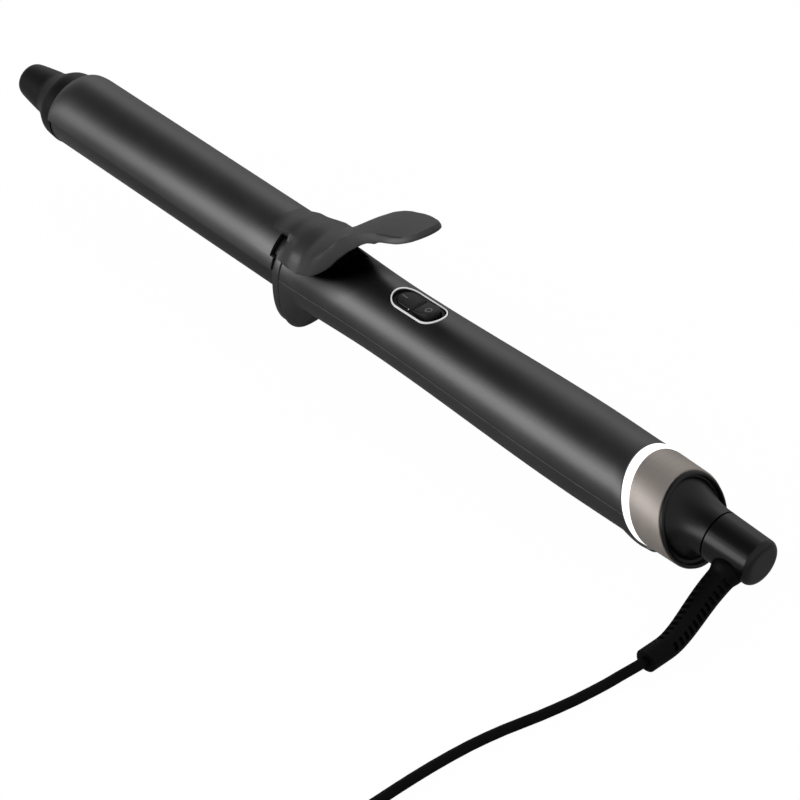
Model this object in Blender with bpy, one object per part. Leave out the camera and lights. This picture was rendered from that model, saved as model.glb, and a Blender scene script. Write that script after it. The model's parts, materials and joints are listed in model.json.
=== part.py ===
"""Curling tong with a sprung clip, a rocker switch and a swivelling cord.

The tool is modelled on its own axis: X runs from the tip (negative) to the cord end (positive), Z is up
through the thumb pad, and X = 0 is the middle of the dark rim behind the metal band.
The empty tool_axis then sets the tool down on its two feet on the plane z = 0.
Lengths are in metres, angles in radians.
"""
import math

import bmesh
import bpy
from mathutils import Matrix, Vector

MM = 0.001
DEG = math.pi / 180.0

# Clearances shared by pieces that seat in each other
SEAT_GAP = 0.3 * MM
HALF_SEAM = 0.15 * MM
CUT_OVERRUN = 1.0 * MM

# Barrel and cool tip
BARREL_R = 13.0 * MM
BARREL_WALL = 1.3 * MM
BARREL_FRONT_X = -304.1 * MM
BARREL_REAR_X = -177.5 * MM
TIP_END_X = -332.7 * MM
TIP_SPIGOT_LENGTH = 11.0 * MM
# outline of the cool tip: share of its length from the end, share of the barrel radius
TIP_OUTLINE_SHARES = [
    (0.00, 0.31), (0.01, 0.41), (0.05, 0.49), (0.16, 0.545), (0.40, 0.63), (0.52, 0.665), (0.59, 0.715),
    (0.69, 0.83), (0.75, 0.91), (0.83, 0.98), (1.0, 1.02),
]

# Heater inside the barrel
HEATER_FRONT_X = -290.0 * MM
HEATER_REAR_X = -196.0 * MM
HEATER_PLATE_WIDTH = 14.0 * MM
HEATER_PLATE_THICK = 2.4 * MM
FUSE_R = 1.2 * MM
FUSE_LENGTH = 9.0 * MM
FUSE_X = -240.0 * MM
SENSOR_R = 1.1 * MM
SENSOR_LENGTH = 5.0 * MM
SENSOR_X = -262.0 * MM

# Insulating bush that holds the barrel in the handle
BUSH_SPIGOT_LENGTH = 13.0 * MM
BUSH_FLANGE_LENGTH = 3.0 * MM
BUSH_BORE_R = 6.0 * MM

# Clip plate: a half tube of larger radius whose centre stands above the tool's axis
CLIP_FRONT_X = -303.6 * MM
CLIP_REAR_X = -182.5 * MM
CLIP_GAP = 0.2 * MM
CLIP_INNER_R = BARREL_R + CLIP_GAP
CLIP_WALL = 1.4 * MM
CLIP_RISE = 1.4 * MM
CLIP_HALF_ANGLE = 87.0 * DEG
CLIP_SHOULDER_LENGTH = 7.5 * MM
CLIP_SHOULDER_FALL = 2.3 * MM
CLIP_CORNER_ANGLE = 9.0 * DEG
TONGUE_HALF_ANGLE = 15.0 * DEG
TONGUE_LENGTH = 18.0 * MM
SLOT_WIDTH = 2.2 * MM

# Thumb lever: saddle over the handle's front, neck and oval pad
SADDLE_GAP = 0.4 * MM
SADDLE_INNER_R = CLIP_INNER_R + CLIP_WALL + SADDLE_GAP
SADDLE_WALL = 1.7 * MM
SADDLE_HALF_ANGLE = 67.0 * DEG
SADDLE_FRONT_X = CLIP_REAR_X + SLOT_WIDTH
SADDLE_REAR_X = -167.0 * MM
NOSE_LENGTH = 8.0 * MM
NOSE_WALL = 0.6 * MM
PAD_END_X = -117.2 * MM
PAD_HALF_WIDTH = 10.3 * MM
PAD_EDGE_DEPTH = 3.4 * MM
PAD_WALL = 1.9 * MM
PAD_ROUND_LENGTH = 13.0 * MM
PAD_DISH_DEPTH = 0.5 * MM
NECK_X = -150.0 * MM
NECK_HALF_WIDTH = 11.6 * MM
NECK_EDGE_DEPTH = 7.5 * MM
# crown line from the saddle's rear to the pad's end: share of the length, share of the rise
CROWN_RISE = 29.85 * MM
CROWN_LINE_SHARES = [
    (0.0, 0.0), (0.08, 0.06), (0.18, 0.19), (0.34, 0.45), (0.42, 0.55), (0.525, 0.665), (0.60, 0.73),
    (0.66, 0.77), (0.72, 0.81), (0.78, 0.838), (0.85, 0.87), (0.93, 0.93), (1.0, 1.0),
]

# Clip hinge
HINGE_X = -162.0 * MM
HINGE_Z = 8.0 * MM
HINGE_PIN_R = 1.5 * MM
HINGE_PIN_HALF_LENGTH = 6.9 * MM
LUG_INNER_Y = 3.5 * MM
SHEET_THICK = 1.2 * MM
LUG_EYE_R = 3.0 * MM
ARM_FRONT_X = -174.0 * MM
ARM_REAR_X = -157.6 * MM
ARM_HALF_WIDTH = 4.9 * MM
BRACKET_EAR_GAP = 0.6 * MM
BRACKET_FLOOR_Z = 2.6 * MM
BRACKET_REAR_X = -157.0 * MM
BRACKET_EAR_TOP = 2.9 * MM
BRACKET_EAR_REACH = 3.6 * MM
SPRING_WIRE_R = 0.4 * MM
SPRING_COIL_R = 2.35 * MM
SPRING_TURNS = 4
SPRING_PITCH = 1.35 * MM
SPRING_LEG_LENGTH = 7.0 * MM
SCREW_SHANK_R = 1.0 * MM
SCREW_HEAD_R = 1.9 * MM
SCREW_HEAD_HEIGHT = 0.9 * MM
SCREW_REACH = 2.6 * MM
LEVER_SCREW_FRONT_X = -171.3 * MM
LEVER_SCREW_REAR_X = -166.2 * MM

# Front collar
COLLAR_FRONT_X = -180.5 * MM
COLLAR_REAR_X = -177.2 * MM
COLLAR_STEP = 1.3 * MM
COLLAR_KEEL_DROP = 10.3 * MM
COLLAR_EDGE = 0.5 * MM

# Handle shells
HANDLE_FRONT_X = -176.9 * MM
HANDLE_FRONT_R = BARREL_R + COLLAR_STEP
WAIST_X = -134.0 * MM
WAIST_R = 13.35 * MM
BELLY_X = -42.0 * MM
BELLY_R = 15.2 * MM
HANDLE_REAR_R = 14.95 * MM
SHELL_WALL = 2.0 * MM
KEEL_TRIM = 0.9 * MM
KEEL_DROP = COLLAR_KEEL_DROP + KEEL_TRIM
KEEL_POWER = 2.4
KEEL_END_X = -169.3 * MM
WINDOW_REAR_X = -154.3 * MM
WINDOW_HALF_WIDTH = 6.6 * MM
SLANT_START_X = -60.0 * MM
RING_SLANT = 0.45
FRONT_FOOT_X = -176.0 * MM
FRONT_FOOT_DEPTH = HANDLE_FRONT_R + COLLAR_KEEL_DROP
REAR_FOOT_X = -5.5 * MM
LIP_START_S = -30.0 * MM
LIP_END_X = -4.8 * MM
LIP_HALF_ANGLE = 62.0 * DEG
LIP_SWELL = 1.7 * MM
LIP_TRIM = 0.3 * MM

# Shell screws and their bosses
SHELL_SCREW_XS = {"front": -146.0 * MM, "middle": -101.0 * MM, "rear": -40.0 * MM}
BOSS_R = 3.0 * MM
BOSS_BORE_R = 1.3 * MM
BOSS_HEAD_R = 2.4 * MM
BOSS_FLOOR_Z = -8.2 * MM
SHELL_SCREW_TOP_Z = 2.6 * MM
SHELL_SCREW_HEAD_R = 2.0 * MM
SHELL_SCREW_HEAD_HEIGHT = 1.4 * MM

# Rocker switch
SWITCH_X = -122.7 * MM
BEZEL_LENGTH = 22.4 * MM
BEZEL_WIDTH = 11.6 * MM
BEZEL_LINE = 0.6 * MM
BEZEL_PROUD = 0.15 * MM
BEZEL_DEPTH = 1.6 * MM
SWITCH_TOP_Z = 12.0 * MM
SWITCH_BASE_Z = 2.6 * MM
WELL_FLOOR_Z = 7.6 * MM
ROCKER_END_MARGIN = 1.8 * MM
ROCKER_SIDE_MARGIN = 1.6 * MM
ROCKER_LENGTH = BEZEL_LENGTH - 2.0 * (BEZEL_LINE + ROCKER_END_MARGIN)
ROCKER_WIDTH = BEZEL_WIDTH - 2.0 * (BEZEL_LINE + ROCKER_SIDE_MARGIN)
ROCKER_PIVOT_Z = 10.4 * MM
ROCKER_RIDGE_Z = 12.7 * MM
ROCKER_BASE_Z = 9.3 * MM
ROCKER_TILT = 7.0 * DEG
ROCKER_PIN_R = 0.7 * MM
ROCKER_PIN_LENGTH = 0.8 * MM
INDICATOR_R = 0.55 * MM
INDICATOR_X = -123.6 * MM
INDICATOR_Y = -4.3 * MM
INDICATOR_DEPTH = 0.7 * MM
INDICATOR_PROUD = 0.15 * MM

# Electronics
BOARD_FRONT_X = -97.0 * MM
BOARD_REAR_X = -46.0 * MM
BOARD_TOP_Z = 0.0 * MM
BOARD_THICK = 1.6 * MM
MODULE_X = -84.0 * MM
MODULE_LENGTH = 16.0 * MM
MODULE_WIDTH = 11.0 * MM
MODULE_HEIGHT = 7.0 * MM
BUZZER_X = -65.0 * MM
BUZZER_R = 5.0 * MM
BUZZER_HEIGHT = 6.0 * MM
CAPACITOR_X = -52.0 * MM
CAPACITOR_R = 3.2 * MM
CAPACITOR_HEIGHT = 8.0 * MM

# Rear end: rings on slanted planes, then the cone and the swivel on the straight axis
RING_FRONT_S = -14.0 * MM
RING_REAR_S = -11.0 * MM
RING_PROUD = 0.2 * MM
RING_TAPER = 0.2 * MM
RING_FRONT_R = HANDLE_REAR_R + RING_PROUD
RING_REAR_R = RING_FRONT_R - RING_TAPER
RING_WALL = 2.0 * MM
LIGHT_BOARD_THICK = 1.2 * MM
LIGHT_BOARD_BORE_R = 8.0 * MM
BAND_REAR_S = 1.3 * MM
BAND_TAPER = 0.25 * MM
BAND_REAR_R = RING_REAR_R - BAND_TAPER
BAND_WALL = 1.0 * MM
CONE_SPIGOT_S = -8.0 * MM
CONE_SPIGOT_WALL = 1.8 * MM
RIM_LENGTH = 1.0 * MM
RIM_STEP = 0.45 * MM
RIM_WIDTH = 1.15 * MM
RIM_OUTER_R = BAND_REAR_R - RIM_STEP
RIM_INNER_R = RIM_OUTER_R - RIM_WIDTH
GROOVE_DEPTH = 1.5 * MM
GROOVE_WIDTH = 0.9 * MM
DISH_R = RIM_INNER_R - GROOVE_WIDTH
DISH_POWER = 2.4
CONE_END_X = 12.0 * MM
NECK_R = 8.55 * MM
CONE_WALL = 2.0 * MM
SWIVEL_FRONT_R = 8.5 * MM
SWIVEL_REAR_R = 7.95 * MM
SWIVEL_FILLET_X = 28.2 * MM
SWIVEL_END_X = 30.5 * MM
SWIVEL_FACE_R = 5.2 * MM
SWIVEL_WALL = 2.0 * MM
SPINDLE_R = 4.7 * MM
SPINDLE_BORE_R = 3.2 * MM
SPINDLE_LENGTH = 9.5 * MM
RETAINER_R = 6.3 * MM
RETAINER_THICK = 1.5 * MM
CONTACT_DISC_R = 6.0 * MM
CONTACT_DISC_THICK = 1.4 * MM
CARRIER_FRONT_S = -7.6 * MM
CARRIER_THICK = 2.4 * MM
BRUSH_SIZE = 1.4 * MM
BRUSH_LENGTH = 8.0 * MM
BRUSH_INNER_Y = 2.0 * MM
BRUSH_OUTER_Y = 4.6 * MM

# Strain relief: leaves the swivel's side 30 degrees below level and turns level on the table
EXIT_X = 22.0 * MM
EXIT_ANGLE = -30.0 * DEG
EXIT_HOLE_R = 4.2 * MM
RELIEF_PLUG_R = 3.9 * MM
RELIEF_SEAT_R = 6.6 * MM
FLARE_R = 5.4 * MM
FLARE_START = 8.75 * MM
FLARE_LENGTH = 2.4 * MM
RELIEF_ROOT_R = 4.55 * MM
RELIEF_END_R = 3.85 * MM
RELIEF_GROOVE = 0.55 * MM
RELIEF_PITCH = 2.7 * MM
RELIEF_RIBS = 13
RELIEF_SLEEVE = 7.6 * MM
RELIEF_REACH_Y = -48.3 * MM
RELIEF_DRIFT_X = 5.0 * MM
RELIEF_BOW_X = 0.6 * MM
RELIEF_START_PULL = 12.0 * MM
RELIEF_END_PULL = 9.0 * MM

# Cord on the table (world frame)
CORD_R = 1.7 * MM
CORD_STEP = 8.0 * MM
TIE_THICK = 0.6 * MM
COIL_X = 187.0 * MM
COIL_Y = -186.0 * MM
COIL_START_ANGLE = 150.0 * DEG
COIL_MIDDLE_R = 20.9 * MM
COIL_PITCH = 3.9 * MM
COIL_LAYERS = 4
COIL_STEPS_PER_LAYER = 101
COIL_POINTS_PER_TURN = 24
COIL_MIN_GAP = 0.4 * MM
COIL_END_RUN = 2 * CORD_R
TIE_WIDTH = 6.0 * MM
TIE_ANGLE = 30.0 * DEG
TIE_GAP = 0.35 * MM

# Plug: flat two-pin body without earth
PLUG_LENGTH = 34.0 * MM
PLUG_WIDTH = 24.0 * MM
PLUG_THICK = 13.0 * MM
PLUG_NECK_R = 3.0 * MM
PLUG_NECK_LENGTH = 10.0 * MM
PLUG_EDGE = 1.5 * MM
PLUG_RUN = 29.0 * MM
PIN_R = 2.0 * MM
PIN_LENGTH = 19.0 * MM
PIN_SPACING = 19.0 * MM
PIN_SINK = 4.0 * MM

# Facets of round pieces
ROUND_SIDES = 40
FINE_SIDES = 28
ARC_SIDES = 16
SMALL_SIDES = 14
WIRE_SIDES = 9


def finish(colour, roughness, metallic=0.0, glow=0.0):
    """A surface finish for one piece."""
    return {"colour": colour, "roughness": roughness, "metallic": metallic, "glow": glow}


SATIN_BLACK = finish((0.020, 0.020, 0.021), 0.42)
COATED_BARREL = finish((0.028, 0.028, 0.029), 0.32, 0.3)
CLIP_BLACK = finish((0.040, 0.040, 0.041), 0.38, 0.3)
CHARCOAL = finish((0.050, 0.050, 0.051), 0.48)
HANDLE_BLACK = finish((0.035, 0.035, 0.036), 0.45)
MATTE_BLACK = finish((0.008, 0.008, 0.008), 0.60)
BRIGHT_TRIM = finish((0.85, 0.85, 0.86), 0.25, 0.6)
BAND_METAL = finish((0.62, 0.57, 0.54), 0.30, 1.0)
RING_WHITE = finish((0.95, 0.95, 0.95), 0.40, 0.0, 1.0)
STEEL = finish((0.55, 0.55, 0.56), 0.35, 1.0)
ALUMINIUM = finish((0.70, 0.70, 0.72), 0.40, 1.0)
BRASS = finish((0.70, 0.52, 0.25), 0.35, 1.0)
CERAMIC = finish((0.80, 0.79, 0.76), 0.60)
BOARD_GREEN = finish((0.03, 0.16, 0.07), 0.50)
GREY_PLASTIC = finish((0.18, 0.18, 0.19), 0.50)


def clear_scene():
    for obj in list(bpy.data.objects):
        bpy.data.objects.remove(obj, do_unlink=True)


def ease(share):
    share = min(max(share, 0.0), 1.0)
    return share * share * (3.0 - 2.0 * share)


def mix(a, b, share):
    return a + (b - a) * share


def along(shares, share):
    """Value of a hand-drawn outline at a share of its length."""
    for (s0, v0), (s1, v1) in zip(shares, shares[1:]):
        if share <= s1:
            return mix(v0, v1, (share - s0) / (s1 - s0))
    return shares[-1][1]


def spread(count):
    """Even shares from 0 to 1."""
    return [i / (count - 1) for i in range(count)]


def make_material(name, look):
    material = bpy.data.materials.new(name)
    material.use_nodes = True
    shader = material.node_tree.nodes["Principled BSDF"]
    shader.inputs["Base Color"].default_value = (*look["colour"], 1.0)
    shader.inputs["Roughness"].default_value = look["roughness"]
    shader.inputs["Metallic"].default_value = look["metallic"]
    if look["glow"]:
        shader.inputs["Emission Color"].default_value = (*look["colour"], 1.0)
        shader.inputs["Emission Strength"].default_value = look["glow"]
    return material


def link(name, data, look, parent):
    obj = bpy.data.objects.new(name, data)
    bpy.context.scene.collection.objects.link(obj)
    if look:
        data.materials.append(make_material(name + "_finish", look))
    if parent:
        obj.parent = parent
        obj.location = -Vector(parent["centre"])
    return obj


def empty(name, parent, centre):
    """A joint axis or placing empty; pieces under it keep their coordinates on the tool's axis."""
    obj = bpy.data.objects.new(name, None)
    bpy.context.scene.collection.objects.link(obj)
    obj.parent = parent
    obj.location = centre
    obj["centre"] = centre
    return obj


def mesh_piece(name, bm, look, parent, sharp=35.0 * DEG):
    bmesh.ops.remove_doubles(bm, verts=bm.verts, dist=SEAT_GAP / 100.0)
    bmesh.ops.recalc_face_normals(bm, faces=bm.faces)
    mesh = bpy.data.meshes.new(name)
    bm.to_mesh(mesh)
    bm.free()
    mesh.shade_smooth()
    mesh.set_sharp_from_angle(angle=sharp)
    return link(name, mesh, look, parent)


def loft(name, sections, look, parent, wrap=False):
    """Skin closed sections of equal point count; wrap joins the last to the first, else both ends are capped."""
    bm = bmesh.new()
    rings = [[bm.verts.new(p) for p in section] for section in sections]
    count = len(rings[0])
    pairs = list(zip(rings, rings[1:]))
    if wrap:
        pairs.append((rings[-1], rings[0]))
    for a, b in pairs:
        for i in range(count):
            j = (i + 1) % count
            bm.faces.new((a[i], a[j], b[j], b[i]))
    if not wrap:
        bm.faces.new(rings[0])
        bm.faces.new(list(reversed(rings[-1])))
    return mesh_piece(name, bm, look, parent)


def turned(name, profile, look, parent, sides=ROUND_SIDES):
    """Turn a closed profile of (place on the axis, radius, slant) round X; slant leans the ring's plane back."""
    sections = []
    for k in range(sides):
        angle = 2.0 * math.pi * k / sides
        c, s = math.cos(angle), math.sin(angle)
        sections.append([(x - slant * r * s, r * c, r * s) for x, r, slant in profile])
    return loft(name, sections, look, parent, wrap=True)


def straight(points):
    return [(x, r, 0.0) for x, r in points]


def box(name, low, high, look, parent, edge=0.0):
    bm = bmesh.new()
    bmesh.ops.create_cube(bm, size=1.0)
    low, high = Vector(low), Vector(high)
    for v in bm.verts:
        v.co = (low + high) / 2.0 + Vector(a * b for a, b in zip(v.co, high - low))
    if edge:
        bmesh.ops.bevel(bm, geom=bm.edges[:], offset=edge, segments=2, profile=0.5, affect="EDGES")
    return mesh_piece(name, bm, look, parent)


def cylinder(name, start, end, radius, look, parent, sides=SMALL_SIDES, rings=None):
    """A rod from start to end; rings gives (share of the length, radius) for a shaped rod."""
    start, end = Vector(start), Vector(end)
    turn = (end - start).to_track_quat("Z", "Y").to_matrix()
    sections = []
    for share, r in rings or [(0.0, radius), (1.0, radius)]:
        centre = start.lerp(end, share)
        angles = [2.0 * math.pi * k / sides for k in range(sides)]
        sections.append([centre + turn @ Vector((r * math.cos(a), r * math.sin(a), 0.0)) for a in angles])
    return loft(name, sections, look, parent)


def as_cutter(obj):
    obj.hide_render = True
    obj.display_type = "WIRE"
    return obj


def boolean(obj, cutter, operation="DIFFERENCE"):
    modifier = obj.modifiers.new(operation.lower() + "_" + cutter.name, "BOOLEAN")
    modifier.operation = operation
    modifier.object = as_cutter(cutter)
    modifier.solver = "EXACT"


def smooth_route(route, step):
    """Points about one step apart on a smooth curve through the route's own points."""
    pts = [Vector(p) for p in route]
    pts = [2.0 * pts[0] - pts[1]] + pts + [2.0 * pts[-1] - pts[-2]]
    line = []
    for a, b, c, d in zip(pts, pts[1:], pts[2:], pts[3:]):
        count = max(2, round((c - b).length / step))
        for k in range(count):
            t = k / count
            line.append(0.5 * (2.0 * b + (c - a) * t + (2.0 * a - 5.0 * b + 4.0 * c - d) * t ** 2
                               + (3.0 * b - a - 3.0 * c + d) * t ** 3))
    return line + [pts[-2]]


def tube(name, points, radius, look, parent, resolution=2, radii=None):
    """A bevelled curve with filled ends; radii scales the tube at each point."""
    curve = bpy.data.curves.new(name, "CURVE")
    curve.dimensions = "3D"
    curve.bevel_depth = radius
    curve.bevel_resolution = resolution
    curve.use_fill_caps = True
    spline = curve.splines.new("POLY")
    spline.points.add(len(points) - 1)
    for i, p in enumerate(points):
        spline.points[i].co = (*p, 1.0)
        spline.points[i].radius = radii[i] / radius if radii else 1.0
    return link(name, curve, look, parent)


# Shapes that several pieces share


def handle_radius(x):
    if x <= WAIST_X:
        return mix(HANDLE_FRONT_R, WAIST_R, ease((x - HANDLE_FRONT_X) / (WAIST_X - HANDLE_FRONT_X)))
    if x <= BELLY_X:
        return mix(WAIST_R, BELLY_R, ease((x - WAIST_X) / (BELLY_X - WAIST_X)))
    return mix(BELLY_R, HANDLE_REAR_R, ease((x - BELLY_X) / (handle_rear() - BELLY_X)))


def handle_rear():
    return RING_FRONT_S - SEAT_GAP


def keel_drop(x):
    share = min(max((x - HANDLE_FRONT_X) / (KEEL_END_X - HANDLE_FRONT_X), 0.0), 1.0)
    return KEEL_DROP * (1.0 - share * share * (2.0 - share))


def rear_foot_depth():
    """The lip's lowest line, cut back to a small flat."""
    return RING_FRONT_R + SEAT_GAP + HALF_SEAM + LIP_SWELL - LIP_TRIM


def foot_tilt():
    return math.atan2(FRONT_FOOT_DEPTH - rear_foot_depth(), REAR_FOOT_X - FRONT_FOOT_X)


def end_slant(x):
    return RING_SLANT * ease((x - SLANT_START_X) / (handle_rear() - SLANT_START_X))


def swell(value, power):
    """Coordinate of a superellipse: power 2 is an ellipse, less is more pointed."""
    return math.copysign(abs(value) ** (2.0 / power), value)


def arc(width, depth, lift, sides, power=2.0):
    """Half a superellipse from +Y over +Z to -Y, cut off at the height lift."""
    start = math.asin((lift / depth) ** (power / 2.0))
    angles = [mix(start, math.pi - start, share) for share in spread(sides + 1)]
    return [(width * swell(math.cos(a), power), depth * swell(math.sin(a), power)) for a in angles]


def tool_to_world():
    """Rest pose: both feet on z = 0, the tool's length centred on the origin."""
    turn = Matrix.Rotation(foot_tilt(), 4, "Y")
    foot = turn @ Vector((REAR_FOOT_X, 0.0, -rear_foot_depth()))
    tip = turn @ Vector((TIP_END_X, 0.0, -TIP_OUTLINE_SHARES[0][1] * BARREL_R))
    end = turn @ Vector((SWIVEL_END_X, 0.0, SWIVEL_FACE_R))
    return Matrix.Translation((-(tip.x + end.x) / 2.0, 0.0, -foot.z)) @ turn


# Barrel, tip and heater


def make_barrel(parent):
    inner = BARREL_R - BARREL_WALL
    profile = [(BARREL_FRONT_X, BARREL_R), (BARREL_REAR_X, BARREL_R), (BARREL_REAR_X, inner), (BARREL_FRONT_X, inner)]
    turned("barrel", straight(profile), COATED_BARREL, parent)


def make_cool_tip(parent):
    cup_end = BARREL_FRONT_X - SEAT_GAP
    spigot_r = BARREL_R - BARREL_WALL - SEAT_GAP
    length = cup_end - TIP_END_X
    profile = [(TIP_END_X, 0.0)]
    profile += [(TIP_END_X + share * length, part * BARREL_R) for share, part in TIP_OUTLINE_SHARES]
    profile += [(cup_end, spigot_r), (cup_end + TIP_SPIGOT_LENGTH, spigot_r), (cup_end + TIP_SPIGOT_LENGTH, 0.0)]
    turned("cool_tip", straight(profile), SATIN_BLACK, parent, sides=FINE_SIDES)


def make_heater(parent):
    bore = BARREL_R - BARREL_WALL - SEAT_GAP
    half_slab = HEATER_PLATE_THICK / 2.0
    half_width = HEATER_PLATE_WIDTH / 2.0
    low = (HEATER_FRONT_X, -half_width, -half_slab)
    high = (HEATER_REAR_X, half_width, half_slab)
    box("heater_plate", low, high, CERAMIC, parent)
    for name, side in (("heat_spreader_upper", 1.0), ("heat_spreader_lower", -1.0)):
        outline = arc(bore, bore, half_slab + SEAT_GAP, ARC_SIDES)
        ends = [[(x, y, side * z) for y, z in outline] for x in (HEATER_FRONT_X, HEATER_REAR_X)]
        loft(name, ends, ALUMINIUM, parent)
    fuse_y = half_width + SEAT_GAP + FUSE_R
    cylinder("thermal_fuse", (FUSE_X, fuse_y, 0.0), (FUSE_X + FUSE_LENGTH, fuse_y, 0.0), FUSE_R, STEEL, parent)
    bead_y = -(half_width + SEAT_GAP + SENSOR_R)
    bead_end = (SENSOR_X + SENSOR_LENGTH, bead_y, 0.0)
    cylinder("temperature_sensor", (SENSOR_X, bead_y, 0.0), bead_end, SENSOR_R, CERAMIC, parent)


def bush_rear():
    return HANDLE_FRONT_X + BUSH_FLANGE_LENGTH


def make_barrel_bush(parent):
    spigot_r = BARREL_R - BARREL_WALL - SEAT_GAP
    flange_r = HANDLE_FRONT_R - SHELL_WALL - SEAT_GAP
    step = BARREL_REAR_X + SEAT_GAP
    front = BARREL_REAR_X - BUSH_SPIGOT_LENGTH
    profile = [(front, spigot_r), (step, spigot_r), (step, flange_r), (bush_rear(), flange_r),
               (bush_rear(), BUSH_BORE_R), (front, BUSH_BORE_R)]
    turned("barrel_bush", straight(profile), GREY_PLASTIC, parent, sides=FINE_SIDES)


# Clip, lever and hinge


def tongue_rear():
    return CLIP_REAR_X + TONGUE_LENGTH


def clip_section(x, half_angle, fall=0.0):
    """Section of the clip plate; fall lowers its crown towards the barrel and thins it by half of that."""
    angles = [mix(-half_angle, half_angle, share) for share in spread(ARC_SIDES + 1)]
    outer_r, rise = CLIP_INNER_R + CLIP_WALL - fall / 2.0, CLIP_RISE - fall / 2.0
    outer = [(x, outer_r * math.sin(a), rise + outer_r * math.cos(a)) for a in angles]
    inner = [(x, CLIP_INNER_R * math.sin(a), rise + CLIP_INNER_R * math.cos(a)) for a in reversed(angles)]
    return outer + inner


def tongue_half_width():
    return (CLIP_INNER_R + CLIP_WALL) * math.sin(TONGUE_HALF_ANGLE)


def trim_sides(piece, front, rear, parent):
    """Cut a half tube back to its middle strip between two places on the axis."""
    wide = CLIP_INNER_R + CLIP_WALL + SADDLE_INNER_R
    for name, side in (("left", -1.0), ("right", 1.0)):
        near, far = side * tongue_half_width(), side * wide
        boolean(piece, box(piece.name + "_trim_" + name, (front, min(near, far), -CLIP_INNER_R),
                           (rear, max(near, far), wide), None, parent))


def make_clip_plate(parent):
    sections = []
    for share in (0.0, 0.08, 0.25, 0.55, 1.0):
        # the front shoulder turns down to the barrel and its lower corners are rounded
        bend = 1.0 - math.sqrt(1.0 - (1.0 - share) ** 2)
        x = CLIP_FRONT_X + share * CLIP_SHOULDER_LENGTH
        sections.append(clip_section(x, CLIP_HALF_ANGLE - CLIP_CORNER_ANGLE * bend, CLIP_SHOULDER_FALL * bend))
    sections.append(clip_section(mix(CLIP_FRONT_X, CLIP_REAR_X, 0.5), CLIP_HALF_ANGLE))
    sections.append(clip_section(tongue_rear(), CLIP_HALF_ANGLE))
    clip = loft("clip_plate", sections, CLIP_BLACK, parent)
    trim_sides(clip, CLIP_REAR_X, tongue_rear() + CUT_OVERRUN, parent)
    return clip


def saddle_crown():
    return CLIP_RISE + SADDLE_INNER_R + SADDLE_WALL


def lever_crown(x):
    """Height of the lever's middle line above the tool's axis."""
    share = (x - SADDLE_REAR_X) / (PAD_END_X - SADDLE_REAR_X)
    return saddle_crown() + CROWN_RISE * along(CROWN_LINE_SHARES, max(share, 0.0))


def saddle_half_width():
    return (SADDLE_INNER_R + SADDLE_WALL) * math.sin(SADDLE_HALF_ANGLE)


def lever_half_width(x):
    pad_middle = PAD_END_X - PAD_ROUND_LENGTH
    if x <= NECK_X:
        return mix(saddle_half_width(), NECK_HALF_WIDTH, ease((x - SADDLE_REAR_X) / (NECK_X - SADDLE_REAR_X)))
    if x <= pad_middle:
        return mix(NECK_HALF_WIDTH, PAD_HALF_WIDTH, ease((x - NECK_X) / (pad_middle - NECK_X)))
    return PAD_HALF_WIDTH * math.sqrt(max(1.0 - ((x - pad_middle) / PAD_ROUND_LENGTH) ** 2, 0.0))


def lever_section(x, flat):
    """Lever section; flat runs from 0, the saddle's arc, to 1, the pad's shallow dish."""
    half = lever_half_width(x)
    crown = lever_crown(x)
    outer_r = SADDLE_INNER_R + SADDLE_WALL
    side_wall = mix(SADDLE_WALL, PAD_WALL, flat)
    # the underside stays on the tongue as far as the tongue goes and then rises to an even wall
    root = 1.0 - ease((x - tongue_rear()) / (NECK_X - tongue_rear()))
    wall = side_wall + root * (crown - saddle_crown())
    arc_depth = outer_r * (1.0 - math.cos(SADDLE_HALF_ANGLE))
    neck_depth = mix(arc_depth, NECK_EDGE_DEPTH, ease((x - SADDLE_REAR_X) / (NECK_X - SADDLE_REAR_X)))
    depth = mix(neck_depth, PAD_EDGE_DEPTH, ease((x - NECK_X) / (PAD_END_X - PAD_ROUND_LENGTH - NECK_X)))
    inner_half = max(half - side_wall, half / 3.0)
    outer, inner = [], []
    for u in (mix(-1.0, 1.0, share) for share in spread(ARC_SIDES + 1)):
        a = u * SADDLE_HALF_ANGLE
        arc_y = math.sin(a) / math.sin(SADDLE_HALF_ANGLE)
        arc_z = (1.0 - math.cos(a)) / (1.0 - math.cos(SADDLE_HALF_ANGLE))
        side = math.sin(u * math.pi / 2.0)
        pad_z = 1.0 - (1.0 - abs(side) ** 4) ** 0.25 if abs(side) < 1.0 else 1.0
        y = mix(arc_y, side, flat)
        fall = mix(arc_z, pad_z, flat)
        dish = flat * PAD_DISH_DEPTH * (1.0 - y * y) * ease((x - NECK_X) / (PAD_END_X - NECK_X))
        outer.append((x, y * half, crown - fall * depth - dish))
        under = (1.0 - abs(u) ** 6) * wall
        inner.append((x, y * inner_half, crown - fall * depth - dish - under))
    return outer + list(reversed(inner))


def nose_section(x, share):
    """The lever's nose lies over the clip's tongue and fades into the clip's surface."""
    outer_r = SADDLE_INNER_R + mix(NOSE_WALL, SADDLE_WALL, ease(share))
    angles = [mix(-SADDLE_HALF_ANGLE, SADDLE_HALF_ANGLE, s) for s in spread(ARC_SIDES + 1)]
    outer = [(x, outer_r * math.sin(a), CLIP_RISE + outer_r * math.cos(a)) for a in angles]
    inner = [(x, SADDLE_INNER_R * math.sin(a), CLIP_RISE + SADDLE_INNER_R * math.cos(a)) for a in reversed(angles)]
    return outer + inner


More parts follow.
